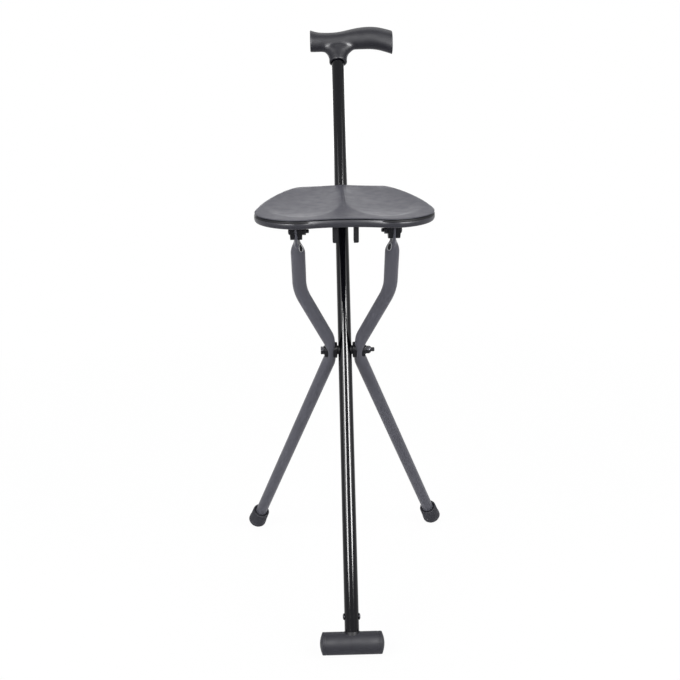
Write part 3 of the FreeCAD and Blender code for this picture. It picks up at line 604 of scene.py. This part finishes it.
@dataclass
class Handle:
    """The moulded grip with its neck and collar."""

    rise: float = 465.0
    nose: float = 40.0
    palm: float = 81.0
    edge: float = 1.2
    collar_radius: float = 13.0
    collar_level: float = 430.4
    neck_offset: float = 0.6
    mouth_radius: float = 10.2
    mouth_depth: float = 3.5
    voxel: float = 0.7
    blend_rise: float = 23.0
    blend_reach: float = 40.0
    blend_height: float = 17.0
    blend_border: float = 0.5
    blend_pull: float = 0.7
    blend_steps: int = 60
    sides: int = 64

    # The neck's sections: height over the collar's lip, what the half width gains and the half depth loses
    neck_sections: ClassVar[tuple[tuple[float, float, float], ...]] = (
        (0.0, -0.4, 1.0), (0.5, 0.0, 0.6), (5.0, 0.2, 0.7), (10.0, 1.2, 0.8), (14.0, 2.9, 0.9),
        (17.5, 5.4, 1.1), (20.5, 8.8, 1.8), (23.0, 12.0, 2.6), (26.0, 13.0, 3.2), (31.0, 9.0, 2.6),
        (38.0, 1.0, 3.2),
    )

    def grip(self) -> Shape:
        """Draws the grip's body through its sections.

        Returns:
            The shape.
        """
        # Place along the grip, lift, half height, half thickness
        sections = (
            (-self.nose, 1.3, 16.2, 12.0),
            (-0.62 * self.nose, -0.8, 14.2, 11.8),
            (0.0, 0.0, 13.8, 11.9),
            (0.40 * self.palm, 4.8, 16.0, 13.0),
            (0.70 * self.palm, 4.8, 16.5, 13.6),
            (self.palm, -2.2, 17.4, 13.2),
        )
        rings = []
        steps, turns = 60, 5
        for step in range(steps + 1):
            x, lift, high, thick = eased(sections, step / steps)
            middle = Vector((x, 0, self.rise + lift))
            if step in (0, steps):
                outward = -1 if step == 0 else 1
                corner = []
                for turn in range(turns):
                    angle = turn / (turns - 1) * math.pi / 2
                    inset = self.edge * (1 - math.cos(angle))
                    out = -self.edge * (1 - math.sin(angle)) * outward
                    corner.append(oval(middle + X * out, X, Z, high - inset, thick - inset, self.sides))
                rings += reversed(corner) if step == 0 else corner
            elif self.edge < abs(x - sections[0][0]) and self.edge < abs(x - sections[-1][0]):
                rings.append(oval(middle, X, Z, high, thick, self.sides))
        return Shape().skin(rings)

    def neck(self, shape: Shape) -> Shape:
        """Adds the neck: as deep as the grip all the way, and flaring to both sides on its way up.

        Args:
            shape: the grip's body.

        Returns:
            The same shape with the neck.
        """
        rings, steps = [], 48
        for step in range(steps + 1):
            height, gain, loss = eased(self.neck_sections, step / steps)
            centre = Vector((self.neck_offset, 0, self.collar_level + height))
            rings.append(oval(centre, Z, X, self.collar_radius + gain, self.collar_radius - loss,
                              self.sides))
        return shape.skin(rings)

    def blend(self, piece: bpy.types.Object) -> None:
        """Melts the neck into the grip, most where they meet.

        Args:
            piece: the grip, remeshed to even faces.
        """
        back = Body.STICK.place.inverted()
        centre = self.collar_level + self.blend_rise
        work = bmesh.new()
        work.from_mesh(piece.data)
        near = []
        for vert in work.verts:
            spot = back @ vert.co
            across, up = spot.x / self.blend_reach, (spot.z - centre) / self.blend_height
            share = smooth((1.0 - math.sqrt(across**2 + up**2)) / self.blend_border)
            if share > 0:
                near.append((vert, share))
        for _ in range(self.blend_steps):
            goals = [sum((e.other_vert(vert).co for e in vert.link_edges), Vector()) / len(vert.link_edges)
                     for vert, _ in near]
            for (vert, share), goal in zip(near, goals):
                vert.co = vert.co.lerp(goal, self.blend_pull * share)
        work.to_mesh(piece.data)
        work.free()

    def build(self) -> None:
        """Joins grip and neck, blends them as the mould does and bores the collar's mouth."""
        piece = fit("grip", self.neck(self.grip()), Body.STICK, MOULDED_ABS, ["handle"])
        change(piece, "REMESH", mode="VOXEL", voxel_size=self.voxel * MM, use_smooth_shade=True)
        change(piece, "SMOOTH", factor=0.5, iterations=5)
        self.blend(piece)
        ends = (self.collar_level - 5, self.collar_level + self.mouth_depth)
        bore = Shape().lathe([(end, self.mouth_radius) for end in ends], Z, sides=self.sides)
        cutter = bpy.data.objects.new("bore", bore.mesh("bore", Body.STICK.place))
        bpy.context.scene.collection.objects.link(cutter)
        change(piece, "BOOLEAN", operation="DIFFERENCE", object=cutter, solver="EXACT")
        bpy.data.objects.remove(cutter)
        dress(piece, MOULDED_ABS, sharp=50)


def change(piece: bpy.types.Object, kind: str, **settings: Any) -> None:
    """Runs one modifier on a piece and applies it.

    Args:
        piece: the piece.
        kind: the modifier's type.
        settings: its properties.
    """
    modifier = piece.modifiers.new(kind.lower(), kind)
    for name, value in settings.items():
        setattr(modifier, name, value)
    depsgraph = bpy.context.evaluated_depsgraph_get()
    mesh = bpy.data.meshes.new_from_object(piece.evaluated_get(depsgraph))
    piece.modifiers.clear()
    old, piece.data = piece.data, mesh
    bpy.data.meshes.remove(old)
    mesh.name = piece.name


# The legs


@dataclass
class LegPair:
    """The two bowed tubes, their rubber ferrules and the pivot's fittings."""

    radius: float = 8.75
    pivot_spread: float = 19.0
    top_spread: float = 56.8
    lower: float = math.radians(19.1)
    upper: float = math.radians(23.3)
    pivot_bend: float = 67.0
    top_bend: float = 72.0
    flat_half: float = 6.2
    flat_width: float = 10.2
    reach: float = 188.7
    crimp_start: float = 30.5
    crimp_end: float = 11.6
    plate_half: float = 1.7
    plate_width: float = 11.0
    plate_offset: float = 1.0
    ferrule_radius: float = 14.0
    ferrule_mouth: float = 13.1
    ferrule_length: float = 27.0
    ferrule_floor: float = 7.0
    floor_sink: float = 0.9
    fold_edge: float = 0.24
    saddle_back: float = 2.0
    saddle_start: float = 10.2
    saddle_half_width: float = 8.5
    saddle_half_height: float = 9.75
    outer_saddle_half_height: float = 8.0
    bolt_radius: float = 3.0
    bolt_tail: float = 11.1
    head_flats: float = 10.0
    head_height: float = 4.0
    nut_height: float = 4.5
    washer_radius: float = 6.2
    washer_thickness: float = 1.2
    washer_edge: float = 0.3
    sides: int = 48
    down: Vector = field(init=False)
    bend_low: Vector = field(init=False)
    foot: Vector = field(init=False)

    def __post_init__(self) -> None:
        """Works out where the leg's lower end stands."""
        self.down = Vector((math.sin(self.lower), 0, -math.cos(self.lower)))
        self.bend_low = self.bend_point(-self.lower)
        upright = (Body.LEGS.place.to_3x3() @ Z).normalized().z
        tilt = math.acos(math.cos(self.lower) * upright)
        level = PIVOT.z / MM - self.ferrule_radius * math.sin(tilt) + self.floor_sink
        run = (level / upright + self.bend_low.z) / math.cos(self.lower)
        self.foot = self.bend_low + self.down * run

    def bend_point(self, angle: float) -> Vector:
        """A place on the centre line in the pivot's bend."""
        return Vector((self.pivot_spread + self.pivot_bend * (1 - math.cos(angle)), 0,
                       self.pivot_bend * math.sin(angle)))

    def section(self, flat: float) -> tuple[float, float]:
        """Half the tube's width and thickness, round at 0 and pressed flat for the bolt at 1."""
        return (self.radius + (self.flat_width - self.radius) * flat,
                self.radius + (self.flat_half - self.radius) * flat)

    def tube_ring(self, centre: Vector, angle: float, flat: float = 0.0) -> Ring:
        """Draws a ring across the tube.

        Args:
            centre: its middle.
            angle: how far the tube leans from upright there.
            flat: how far it is pressed flat, from 0 to 1.

        Returns:
            The ring.
        """
        ahead = Vector((math.sin(angle), 0, math.cos(angle)))
        return oval(centre, ahead, Y, *self.section(flat), self.sides)

    def leg(self) -> Shape:
        """Draws the right leg from its foot to the crimped plate at its top.

        Returns:
            The shape.
        """
        low_steps, top_steps, crimp_steps, end_steps = 28, 14, 32, 12
        rings = [self.tube_ring(self.foot - self.down * self.ferrule_floor, -self.lower)]
        for step in range(low_steps + 1):
            share = step / low_steps
            angle = -self.lower + (self.lower + self.upper) * share
            rings.append(self.tube_ring(self.bend_point(angle), angle, math.sin(math.pi * share) ** 2))
        start = self.bend_point(self.upper)
        knee_x = self.top_spread - self.top_bend * (1 - math.cos(self.upper))
        up = Vector((math.sin(self.upper), 0, math.cos(self.upper)))
        knee = start + up * ((knee_x - start.x) / math.sin(self.upper))
        centre = Vector((self.top_spread - self.top_bend, 0, knee.z + self.top_bend * math.sin(self.upper)))
        for step in range(top_steps + 1):
            angle = self.upper * (1 - step / top_steps)
            outward = Vector((math.cos(angle), 0, -math.sin(angle)))
            rings.append(self.tube_ring(centre + outward * self.top_bend, angle))
        rings += [self.crimp_ring(math.sin(step / crimp_steps * math.pi / 2))
                  for step in range(crimp_steps + 1)]
        # The plate's end is a half disc with squared edges
        least, squareness = 0.6, 5.25
        for step in range(end_steps + 1):
            angle = step / end_steps * math.pi / 2
            spot = Vector((self.top_spread + self.plate_offset, 0,
                           self.reach + self.plate_width * math.sin(angle)))
            rings.append(oval(spot, Z, Y, max(self.plate_width * math.cos(angle), least), self.plate_half,
                              self.sides, squareness))
        return Shape().skin(rings)

    def crimp_ring(self, share: float) -> Ring:
        """Draws one ring of the crimp.

        Args:
            share: 0 where the tube is still round and 1 where it is a flat plate.

        Returns:
            The ring.
        """
        slow_in, slow_out = 1.8, 1.1
        thin = 1 - (1 - share**slow_in) ** slow_out
        level = self.reach - self.crimp_start + (self.crimp_start - self.crimp_end) * share
        # The section goes from an ellipse towards a lens, and squares up as its walls meet
        lens, square = 0.75 * smooth(share / 0.75), 4 * smooth((thin - 0.55) / 0.45)
        return oval(Vector((self.top_spread + self.plate_offset * thin, 0, level)), Z, Y,
                    self.radius + (self.plate_width - self.radius) * thin,
                    self.radius + (self.plate_half - self.radius) * thin, self.sides, 2 - lens + square)

    def fold(self) -> tuple[Shape, Shape]:
        """Draws the open fold that the crimp leaves on the inner side.

        Returns:
            A black cone sunk a little into the fold, which is painted shade for its hollow, and the fold's cut
            edge.
        """
        count, lift = 28, 0.15
        out, sunk, thick = Vector((-0.7, -0.7, 0)), Vector((-0.75, -0.75, 0)), Vector((1, 1, 0))
        # The loop's middle and reach, along the crimp and round it
        along, along_reach, around, around_reach, slant = 0.58, 0.27, 0.355, 0.075, 0.02
        loop = []
        for step in range(count):
            turn = 2 * math.pi * step / count
            share = along + along_reach * math.sin(turn)
            swing = around_reach * math.cos(turn) * (1.3 - share)
            place = self.sides * (around + swing - slant * math.sin(turn))
            ring, first = self.crimp_ring(share), int(place)
            loop.append(ring[first].lerp(ring[first + 1], place - first) + out * lift)
        middle = sum(loop, Vector()) / count
        # The mouth is painted shade: a shallow black cone where the fold's hollow lies in shadow
        mouth = Shape([*loop, middle + sunk, *[spot + thick for spot in loop]])
        rings = []
        for step in range(count):
            after = (step + 1) % count
            mouth.faces += [(step, after, count), (step + count + 1, step, after, after + count + 1)]
            ahead = (loop[after] - loop[step - 1]).normalized()
            side = ahead.cross((loop[step] - middle).normalized()).normalized()
            rings.append(oval(loop[step], ahead, side, self.fold_edge, self.fold_edge, 8))
        mouth.faces.append(tuple(range(2 * count, count, -1)))
        return mouth, Shape().skin(rings, looped=True)

    def surface(self, y: float, z: float, way: int) -> float:
        """How far out the leg's wall stands at the pivot.

        Args:
            y: the place across the leg.
            z: the height from the pivot.
            way: 1 for the outer wall, -1 for the wall next to the stick.

        Returns:
            The distance from the stick's middle plane.
        """
        angle = math.asin(z / self.pivot_bend)
        flat = math.sin(math.pi * (angle + self.lower) / (self.lower + self.upper)) ** 2
        wide, thick = self.section(flat)
        middle = self.pivot_spread + self.pivot_bend * (1 - math.cos(angle))
        return middle + way * thick * math.sqrt(max(1 - (y / wide) ** 2, 0.0))

    def saddle(self, outside: bool) -> Shape:
        """Draws a shaped seat between the leg's round wall and the bolt's flat washer.

        Args:
            outside: whether it is the one on the leg's outer side.

        Returns:
            The shape.
        """
        way = 1 if outside else -1
        wide, high = self.saddle_half_width, self.saddle_half_height
        face = self.saddle_start
        if outside:
            high = self.outer_saddle_half_height
            face = self.pivot_spread + self.flat_half + self.saddle_back
        rings, sides, squareness = [], 64, 3.4
        # The share of the full size, and how far under the flat face
        for size, sink in ((0.38, 0.0), (0.84, 0.0), (0.93, 0.12), (0.98, 0.4), (1.0, 0.9)):
            centre = Vector((face - way * sink, 0, 0))
            rings.append(oval(centre, X, Y, wide * size, high * size, sides, squareness))
        sole = []
        for point in rings[-1]:
            wall = self.surface(point.y, point.z, way)
            sole.append(Vector((wall if way * (point.x - wall) > 0 else point.x, point.y, point.z)))
        # The last ring ends inside the leg's wall
        rings += [sole, [Vector((p.x - way, p.y * 0.9, p.z * 0.9)) for p in sole]]
        return Shape().skin(rings)

    def ferrule(self) -> Shape:
        """Draws the right ferrule round the leg's lower end.

        Returns:
            The shape.
        """
        radius, mouth, length = self.ferrule_radius, self.ferrule_mouth, self.ferrule_length
        # Place and radius: the sole and its tread, the tapered wall, the rolled lip and the socket
        profile = [(0.0, 0.5), (0.0, radius - 1.6), (0.5, radius - 0.5), (1.5, radius), (6.0, radius),
                   (6.5, radius - 0.45), (length - 1.2, mouth + 0.02), (length - 0.35, mouth - 0.3),
                   (length, mouth - 1.0), (length, self.radius + 1.9), (length - 3.2, self.radius + 1.1),
                   (length - 3.2, self.radius - 0.5)]
        turn = Matrix.Translation(self.foot) @ Matrix.Rotation(-self.lower, 4, "Y")
        return Shape().lathe(profile, Z, sides=64).moved(turn)

    def build(self) -> None:
        """Makes the legs, the ferrules and the pivot's bolt, washers and nut."""
        leg, ferrule = self.leg(), self.ferrule()
        fit("right_leg_tube", leg, Body.LEGS, POWDER_COAT, ["right_leg"], sharp=50)
        fit("left_leg_tube", leg.mirrored(), Body.LEGS, POWDER_COAT, ["left_leg"], sharp=50)
        fit("right_boot", ferrule, Body.LEGS, MOULDED_RUBBER, ["right_ferrule"])
        fit("left_boot", ferrule.mirrored(), Body.LEGS, MOULDED_RUBBER, ["left_ferrule"])
        for side in ("right", "left"):
            dress(frame["nodes"][side + "_ferrule_disc"], BLACK_OXIDE_STEEL)
        mouth, edge = self.fold()
        # Each fold's mouth is painted shade in black nylon; its edge is bare steel
        for side, painted_shade, bright in (("right", mouth, edge), ("left", mouth.mirrored(), edge.mirrored())):
            fit(side + "_crimp_painted_shade", painted_shade, Body.LEGS, MOULDED_NYLON)
            fit(side + "_crimp_edge", bright, Body.LEGS, CUT_STEEL)
        for outside, word in ((False, "inner"), (True, "outer")):
            saddle = self.saddle(outside)
            for side, shape in (("right", saddle), ("left", saddle.mirrored())):
                fit(f"{side}_{word}_saddle_piece", shape, Body.LEGS, MOULDED_NYLON,
                    [f"{side}_{word}_saddle"], sharp=50)
        bolt_radius, rim = self.bolt_radius, self.washer_radius
        start = self.pivot_spread + self.flat_half + self.saddle_back
        face = start + self.washer_thickness
        washer = Shape().lathe(((start, bolt_radius), (start, rim - self.washer_edge), (start + 0.25, rim),
                                (face - 0.25, rim), (face, rim - self.washer_edge), (face, bolt_radius)), X)
        fit("pivot_washers", washer.both_sides(), Body.LEGS, BLACK_OXIDE_STEEL,
            ["right_pivot_washer", "left_pivot_washer"])
        bolt = Shape().hexagon(self.head_flats, -face, -face - self.head_height)
        bolt.lathe(((-face, bolt_radius), (face, bolt_radius)), X)
        thread(bolt, face, face + self.bolt_tail, bolt_radius)
        fit("pivot_bolt_piece", bolt, Body.LEGS, BLACK_OXIDE_STEEL, ["pivot_bolt"])
        nut = Shape().hexagon(self.head_flats, face, face + self.nut_height)
        # The collar that holds the nut's locking ring
        nut.lathe(((face + 4.4, 4.7), (face + 5.6, 4.5), (face + 6.2, 3.9), (face + 6.2, bolt_radius)), X)
        fit("pivot_nut_piece", nut, Body.LEGS, BLACK_OXIDE_STEEL, ["pivot_nut"])


# The seat


@dataclass
class Seat:
    """The upper moulding, the lower moulding's rim, and the fittings under it."""

    half_width: float = 108.0
    far: float = 177.6
    lobe_radius: float = 57.0
    lobe_front: float = 37.0
    toe_radius: float = 35.0
    toe_turn: float = math.radians(11.5)
    hollow: float = 28.0
    side_radius: float = 480.0
    side_turn: float = math.radians(8.0)
    corner_radius: float = 13.0
    bottom: float = 9.4
    joint: float = 18.9
    groove: float = 0.4
    top: float = 23.2
    plug: float = 16.6
    crown: float = 2.8
    dish_depth: float = 4.8
    dish_rim: float = 4.0
    far_fall: float = 2.4
    apron_fall: float = 3.0
    crest_blend: float = 0.15
    dish_front: float = 86.0
    dish_middle: float = 26.0
    dish_reach: float = 214.0
    front_reach: float = 104.0
    apron_reach: float = 109.0
    skirt: float = 9.3
    rim_wall: float = 8.6
    ear_inner: float = 50.8
    ear_outer: float = 64.8
    pin_radius: float = 2.5
    head_radius: float = 4.3
    head_height: float = 2.6
    broken_edge: float = 0.4
    nut_flats: float = 8.0
    nut_height: float = 4.6
    tail: float = 3.6

    def outline(self, inset: float) -> list[tuple[float, float]]:
        """Draws the seat's plan as one closed run of points.

        Args:
            inset: how far it is drawn in.

        Returns:
            Points anticlockwise from the right end of the far edge.
        """
        lobe = Vector((self.half_width - self.lobe_radius, self.lobe_radius - self.lobe_front))
        down = Vector((math.sin(self.toe_turn), -math.cos(self.toe_turn)))
        toe = lobe + down * (self.lobe_radius - self.toe_radius)
        rise = toe.y + self.hollow
        bay = (toe.x**2 + rise**2 - self.toe_radius**2) / (2 * (self.toe_radius - rise))
        middle = Vector((0, -self.hollow - bay))
        out = Vector((math.cos(self.side_turn), math.sin(self.side_turn)))
        side = lobe - out * (self.side_radius - self.lobe_radius)
        corner_y = self.far - self.corner_radius
        reach = self.side_radius - self.corner_radius
        corner = Vector((side.x + math.sqrt(reach**2 - (corner_y - side.y) ** 2), corner_y))
        up = math.pi / 2
        side_end = math.atan2(corner.y - side.y, corner.x - side.x)
        toe_end = math.atan2(middle.y - toe.y, middle.x - toe.x)
        # Centre, radius, first and last angle, steps
        arcs = (
            (corner, self.corner_radius - inset, up, side_end, 12),
            (side, self.side_radius - inset, side_end, self.side_turn, 30),
            (lobe, self.lobe_radius - inset, self.side_turn, self.toe_turn - up, 34),
            (toe, self.toe_radius - inset, self.toe_turn - up, toe_end, 16),
            (middle, bay + inset, toe_end + math.pi, up, 18),
        )
        right = []
        for centre, radius, start, end, steps in arcs:
            for step in range(steps):
                angle = start + (end - start) * step / steps
                right.append((centre.x + radius * math.cos(angle), centre.y + radius * math.sin(angle)))
        left = [(-x, y) for x, y in reversed(right)]
        (edge_x, edge_y), edge_steps = right[0], 24
        edge = [(-edge_x + 2 * edge_x * step / edge_steps, edge_y) for step in range(1, edge_steps)]
        return right + [(0.0, middle.y + bay + inset)] + left + edge

    def drop(self, x: float, y: float) -> float:
        """How far the sitting surface dips below the crest.

        Args:
            x: the place across the seat.
            y: the place along it, from the hinge to the far edge.

        Returns:
            The dip, below 0 where the surface rises.
        """
        front, widest, crest_lift = self.dish_front, 1.25, 0.2
        half = (self.half_width - self.dish_rim) * (1 - ((y - self.dish_middle) / self.dish_reach) ** 2)
        across = min(abs(x) / half, widest)
        bowl = 1 - (2 * across - 1) ** 2
        if y < front:
            fall = self.dish_depth * (bowl - ((front - y) / self.front_reach) ** 2)
        else:
            fade = ((y - front) / (self.far - front)) ** 2
            fall = self.dish_depth * bowl * (1 - fade) + self.far_fall * across * fade
        ahead = self.apron_fall * smooth((front - y) / self.apron_reach)
        behind = self.crown * smooth(y / self.far)
        soft = self.crest_blend
        return ahead - behind + (fall + math.sqrt(fall * fall + soft * soft)) / 2 - soft * crest_lift

    def at(self, inset: float, level: float) -> Ring:
        """The plan, drawn in, at one level."""
        return [Vector((x, y, level)) for x, y in self.outline(inset)]

    def top_shape(self) -> Shape:
        """Draws the upper moulding: rolled lip, two dishes and the ridge between them.

        Returns:
            The shape.
        """
        base = self.joint + self.groove
        rings = [self.at(self.skirt, self.plug), self.at(self.skirt, base), self.at(2.0, base)]
        # The lip: how far in, and its share of the height to the sitting surface
        for inset, rise in ((1.2, 0.05), (0.75, 0.14), (0.5, 0.28), (0.6, 0.5), (1.1, 0.73), (2.0, 0.87),
                            (3.2, 0.95)):
            rings.append([Vector((x, y, base + rise * (self.top - self.drop(x, y) - base)))
                          for x, y in self.outline(inset)])
        # Rings that close on the ridge's line, which ends short of both edges
        border, steps, packing = self.outline(4.8), 44, 0.9
        line_start, line_end = 10.0, 140.0
        for step in range(steps):
            share = (step / steps) ** packing
            ring = []
            for x, y in border:
                inner_y = min(max(y, line_start), line_end)
                here = (x * (1 - share), y + (inner_y - y) * share)
                ring.append(Vector((*here, self.top - self.drop(*here))))
            rings.append(ring)
        return Shape().skin(rings)

    def rim_shape(self) -> Shape:
        """Draws the lower moulding's beaded rim as a skin over its edge.

        Returns:
            The shape.
        """
        rise = self.joint - self.bottom
        # How far in, and how high over the rim's underside
        curve = ((4.0, 0.0), (2.4, 0.08), (1.2, 0.6), (0.5, 1.6), (0.1, 3.0), (0.0, 4.4), (0.1, 5.8),
                 (0.35, 7.0), (0.8, 8.0), (1.6, rise - 0.4), (3.0, rise), (self.rim_wall, rise),
                 (self.rim_wall, 1.0), (self.rim_wall - 0.4, 0.0))
        return Shape().skin([self.at(inset, self.bottom + level) for inset, level in curve], looped=True)

    def build(self) -> None:
        """Makes the mouldings and the bolts that carry them."""
        fit("seat_top_skin", self.top_shape(), Body.SEAT, ETCHED_POLYPROPYLENE,
            ["seat_top"], sharp=60)
        # The rim's darker colour is partly painted shade for the bead under the lip
        fit("seat_rim_skin", self.rim_shape(), Body.SEAT, POLISHED_POLYPROPYLENE_WITH_PAINTED_SHADE,
            sharp=50)
        base = frame["nodes"]["seat_base"]
        dress(base, MOULDED_NYLON, sharp=25)
        edges = base.modifiers.new("broken_edges", "BEVEL")
        edges.width, edges.segments = self.broken_edge * MM, 2
        edges.limit_method, edges.angle_limit = "ANGLE", math.radians(40)
        bolt = Shape().lathe(((self.ear_inner, self.pin_radius), (self.ear_outer, self.pin_radius)), X)
        bolt.lathe(button_profile(self.head_radius, self.head_height, self.ear_outer), X, sides=32)
        thread(bolt, self.ear_inner, self.ear_inner - self.nut_height - self.tail, self.pin_radius)
        nut = Shape().hexagon(self.nut_flats, self.ear_inner - self.nut_height, self.ear_inner)
        for side, *shapes in (("right", bolt, nut), ("left", bolt.mirrored(), nut.mirrored())):
            for word, shape in zip(("bolt", "nut"), shapes):
                fit(f"{side}_seat_{word}_piece", shape, Body.SEAT, BLACK_OXIDE_STEEL,
                    [f"{side}_seat_{word}"])
        dress(frame["nodes"]["guide_pin"], BLACK_OXIDE_STEEL)
        dress(frame["nodes"]["guide_cap"], MOULDED_NYLON)


# The studio


@dataclass
class Studio:
    """The floor, the lights and the camera."""

    lens: float = 40.96
    sensor: float = 36.0
    sight: float = 50.0
    stand: tuple[float, float, float] = (-24.75, -1000.11, 272.4)
    pitch: float = math.radians(14.507)
    roll: float = math.radians(0.851)
    yaw: float = math.radians(-1.0508)
    room_light: float = 0.4
    paper_glow: float = 0.96
    glow_range: tuple[float, float] = (0.3, 1.6)
    half_floor: float = 30.0
    aim: float = 0.4

    def camera(self) -> None:
        """Stands the camera where the photograph was taken from."""
        data = bpy.data.cameras.new("camera")
        data.lens, data.sensor_width, data.clip_end = self.lens, self.sensor, self.sight
        camera = bpy.data.objects.new("camera", data)
        bpy.context.scene.collection.objects.link(camera)
        turn = Matrix.Rotation(self.yaw, 4, "Z") @ Matrix.Rotation(math.pi / 2 - self.pitch, 4, "X")
        tilt = Matrix.Rotation(-self.roll, 4, "Z")
        camera.matrix_world = Matrix.Translation(PIVOT + Vector(self.stand) * MM) @ turn @ tilt
        bpy.context.scene.camera = camera

    def lamp(self, name: str, azimuth: float, away: float, height: float, size: tuple[float, float],
             power: float, gleam: bool = False) -> None:
        """Hangs one soft box, turned to the object's middle.

        Args:
            name: the lamp's name.
            azimuth: degrees to the right of the front.
            away: how far it stands from the object's middle, in metres.
            height: how high it hangs, in metres.
            size: its width and height, in metres.
            power: its power in watts.
            gleam: whether it only shows in reflections.
        """
        data = bpy.data.lights.new(name, "AREA")
        data.shape, data.size, data.size_y, data.energy = "RECTANGLE", size[0], size[1], power
        lamp = bpy.data.objects.new(name, data)
        bpy.context.scene.collection.objects.link(lamp)
        turn = math.radians(azimuth)
        lamp.location = Vector((math.sin(turn) * away, -math.cos(turn) * away, height))
        lamp.rotation_mode = "QUATERNION"
        lamp.rotation_quaternion = (Z * self.aim - lamp.location).to_track_quat("-Z", "Y")
        lamp.visible_camera = False
        lamp.visible_diffuse = not gleam

    def floor(self) -> None:
        """Lays the pale floor, which shows near white and keeps the object's shadow."""
        mesh = bpy.data.meshes.new("floor")
        half = self.half_floor
        corners = [(-half, -half, 0), (half, -half, 0), (half, half, 0), (-half, half, 0)]
        mesh.from_pydata(corners, [], [(0, 1, 2, 3)])
        floor = bpy.data.objects.new("floor", mesh)
        bpy.context.scene.collection.objects.link(floor)
        paper = bpy.data.materials.new("studio_paper")
        paper.use_nodes = True
        tree = paper.node_tree
        shader = tree.nodes["Principled BSDF"]
        shader.inputs["Base Color"].default_value = linear("F6F6F6")
        shader.inputs["Roughness"].default_value = 0.9
        glow = add(tree, "Emission", {"Color": linear("FFFFFF"), "Strength": 1.0})
        place = add(tree, "TexCoord").outputs["Object"]
        far = add(tree, "VectorMath", {0: place}, operation="LENGTH")
        near, away = self.glow_range
        share = add(tree, "MapRange", {"Value": far.outputs["Value"], "From Min": near, "From Max": away,
                                       "To Min": self.paper_glow, "To Max": 1.0})
        white = add(tree, "Math", {0: self.seen_rays(tree), 1: share.outputs["Result"]},
                    operation="MULTIPLY")
        both = add(tree, "MixShader", {0: white.outputs[0], 1: shader.outputs[0], 2: glow.outputs[0]})
        tree.links.new(both.outputs[0], tree.nodes["Material Output"].inputs["Surface"])
        mesh.materials.append(paper)

    def seen_rays(self, tree: bpy.types.NodeTree) -> bpy.types.NodeSocket:
        """Finds the rays that show the room itself, straight, mirrored or through glass.

        Args:
            tree: the node tree.

        Returns:
            A socket that gives 1 for them and 0 for the others.
        """
        path = add(tree, "LightPath").outputs
        both = add(tree, "Math", {0: path["Is Camera Ray"], 1: path["Is Glossy Ray"]}, operation="MAXIMUM")
        seen = add(tree, "Math", {0: both.outputs[0], 1: path["Is Transmission Ray"]}, operation="MAXIMUM")
        return seen.outputs[0]

    def sky(self) -> None:
        """Fills the room with even light, and shows white behind the object."""
        world = bpy.data.worlds.new("room")
        bpy.context.scene.world = world
        world.use_nodes = True
        tree = world.node_tree
        backdrop = tree.nodes["Background"]
        backdrop.inputs["Color"].default_value = linear("FFFFFF")
        strength = add(tree, "MapRange", {"Value": self.seen_rays(tree), "To Min": self.room_light,
                                          "To Max": 1.0})
        tree.links.new(strength.outputs["Result"], backdrop.inputs["Strength"])

    def build(self) -> None:
        """Sets up the whole studio."""
        bpy.context.scene.view_settings.view_transform = "Standard"
        self.camera()
        self.floor()
        self.sky()
        self.lamp("left_box", -55, 1.5, 1.2, (0.7, 1.4), 16)
        self.lamp("right_box", 62, 1.5, 1.2, (0.7, 1.4), 13)
        self.lamp("top_box", 170, 0.6, 2.1, (1.4, 1.0), 9)
        self.lamp("left_strip", -33, 1.5, 1.24, (0.5, 1.35), 125, gleam=True)
        self.lamp("right_strip", 40, 1.5, 1.24, (0.5, 1.35), 160, gleam=True)
        self.lamp("back_strip", 180, 1.5, 0.72, (1.8, 0.3), 6, gleam=True)


def main() -> None:
    logging.basicConfig(level=logging.INFO, format="%(message)s")
    for part in (Shaft(), Handle(), Foot(), LegPair(), Seat(), Studio()):
        log.info("building %s", type(part).__name__)
        part.build()


if __name__ == "__main__":
    main()
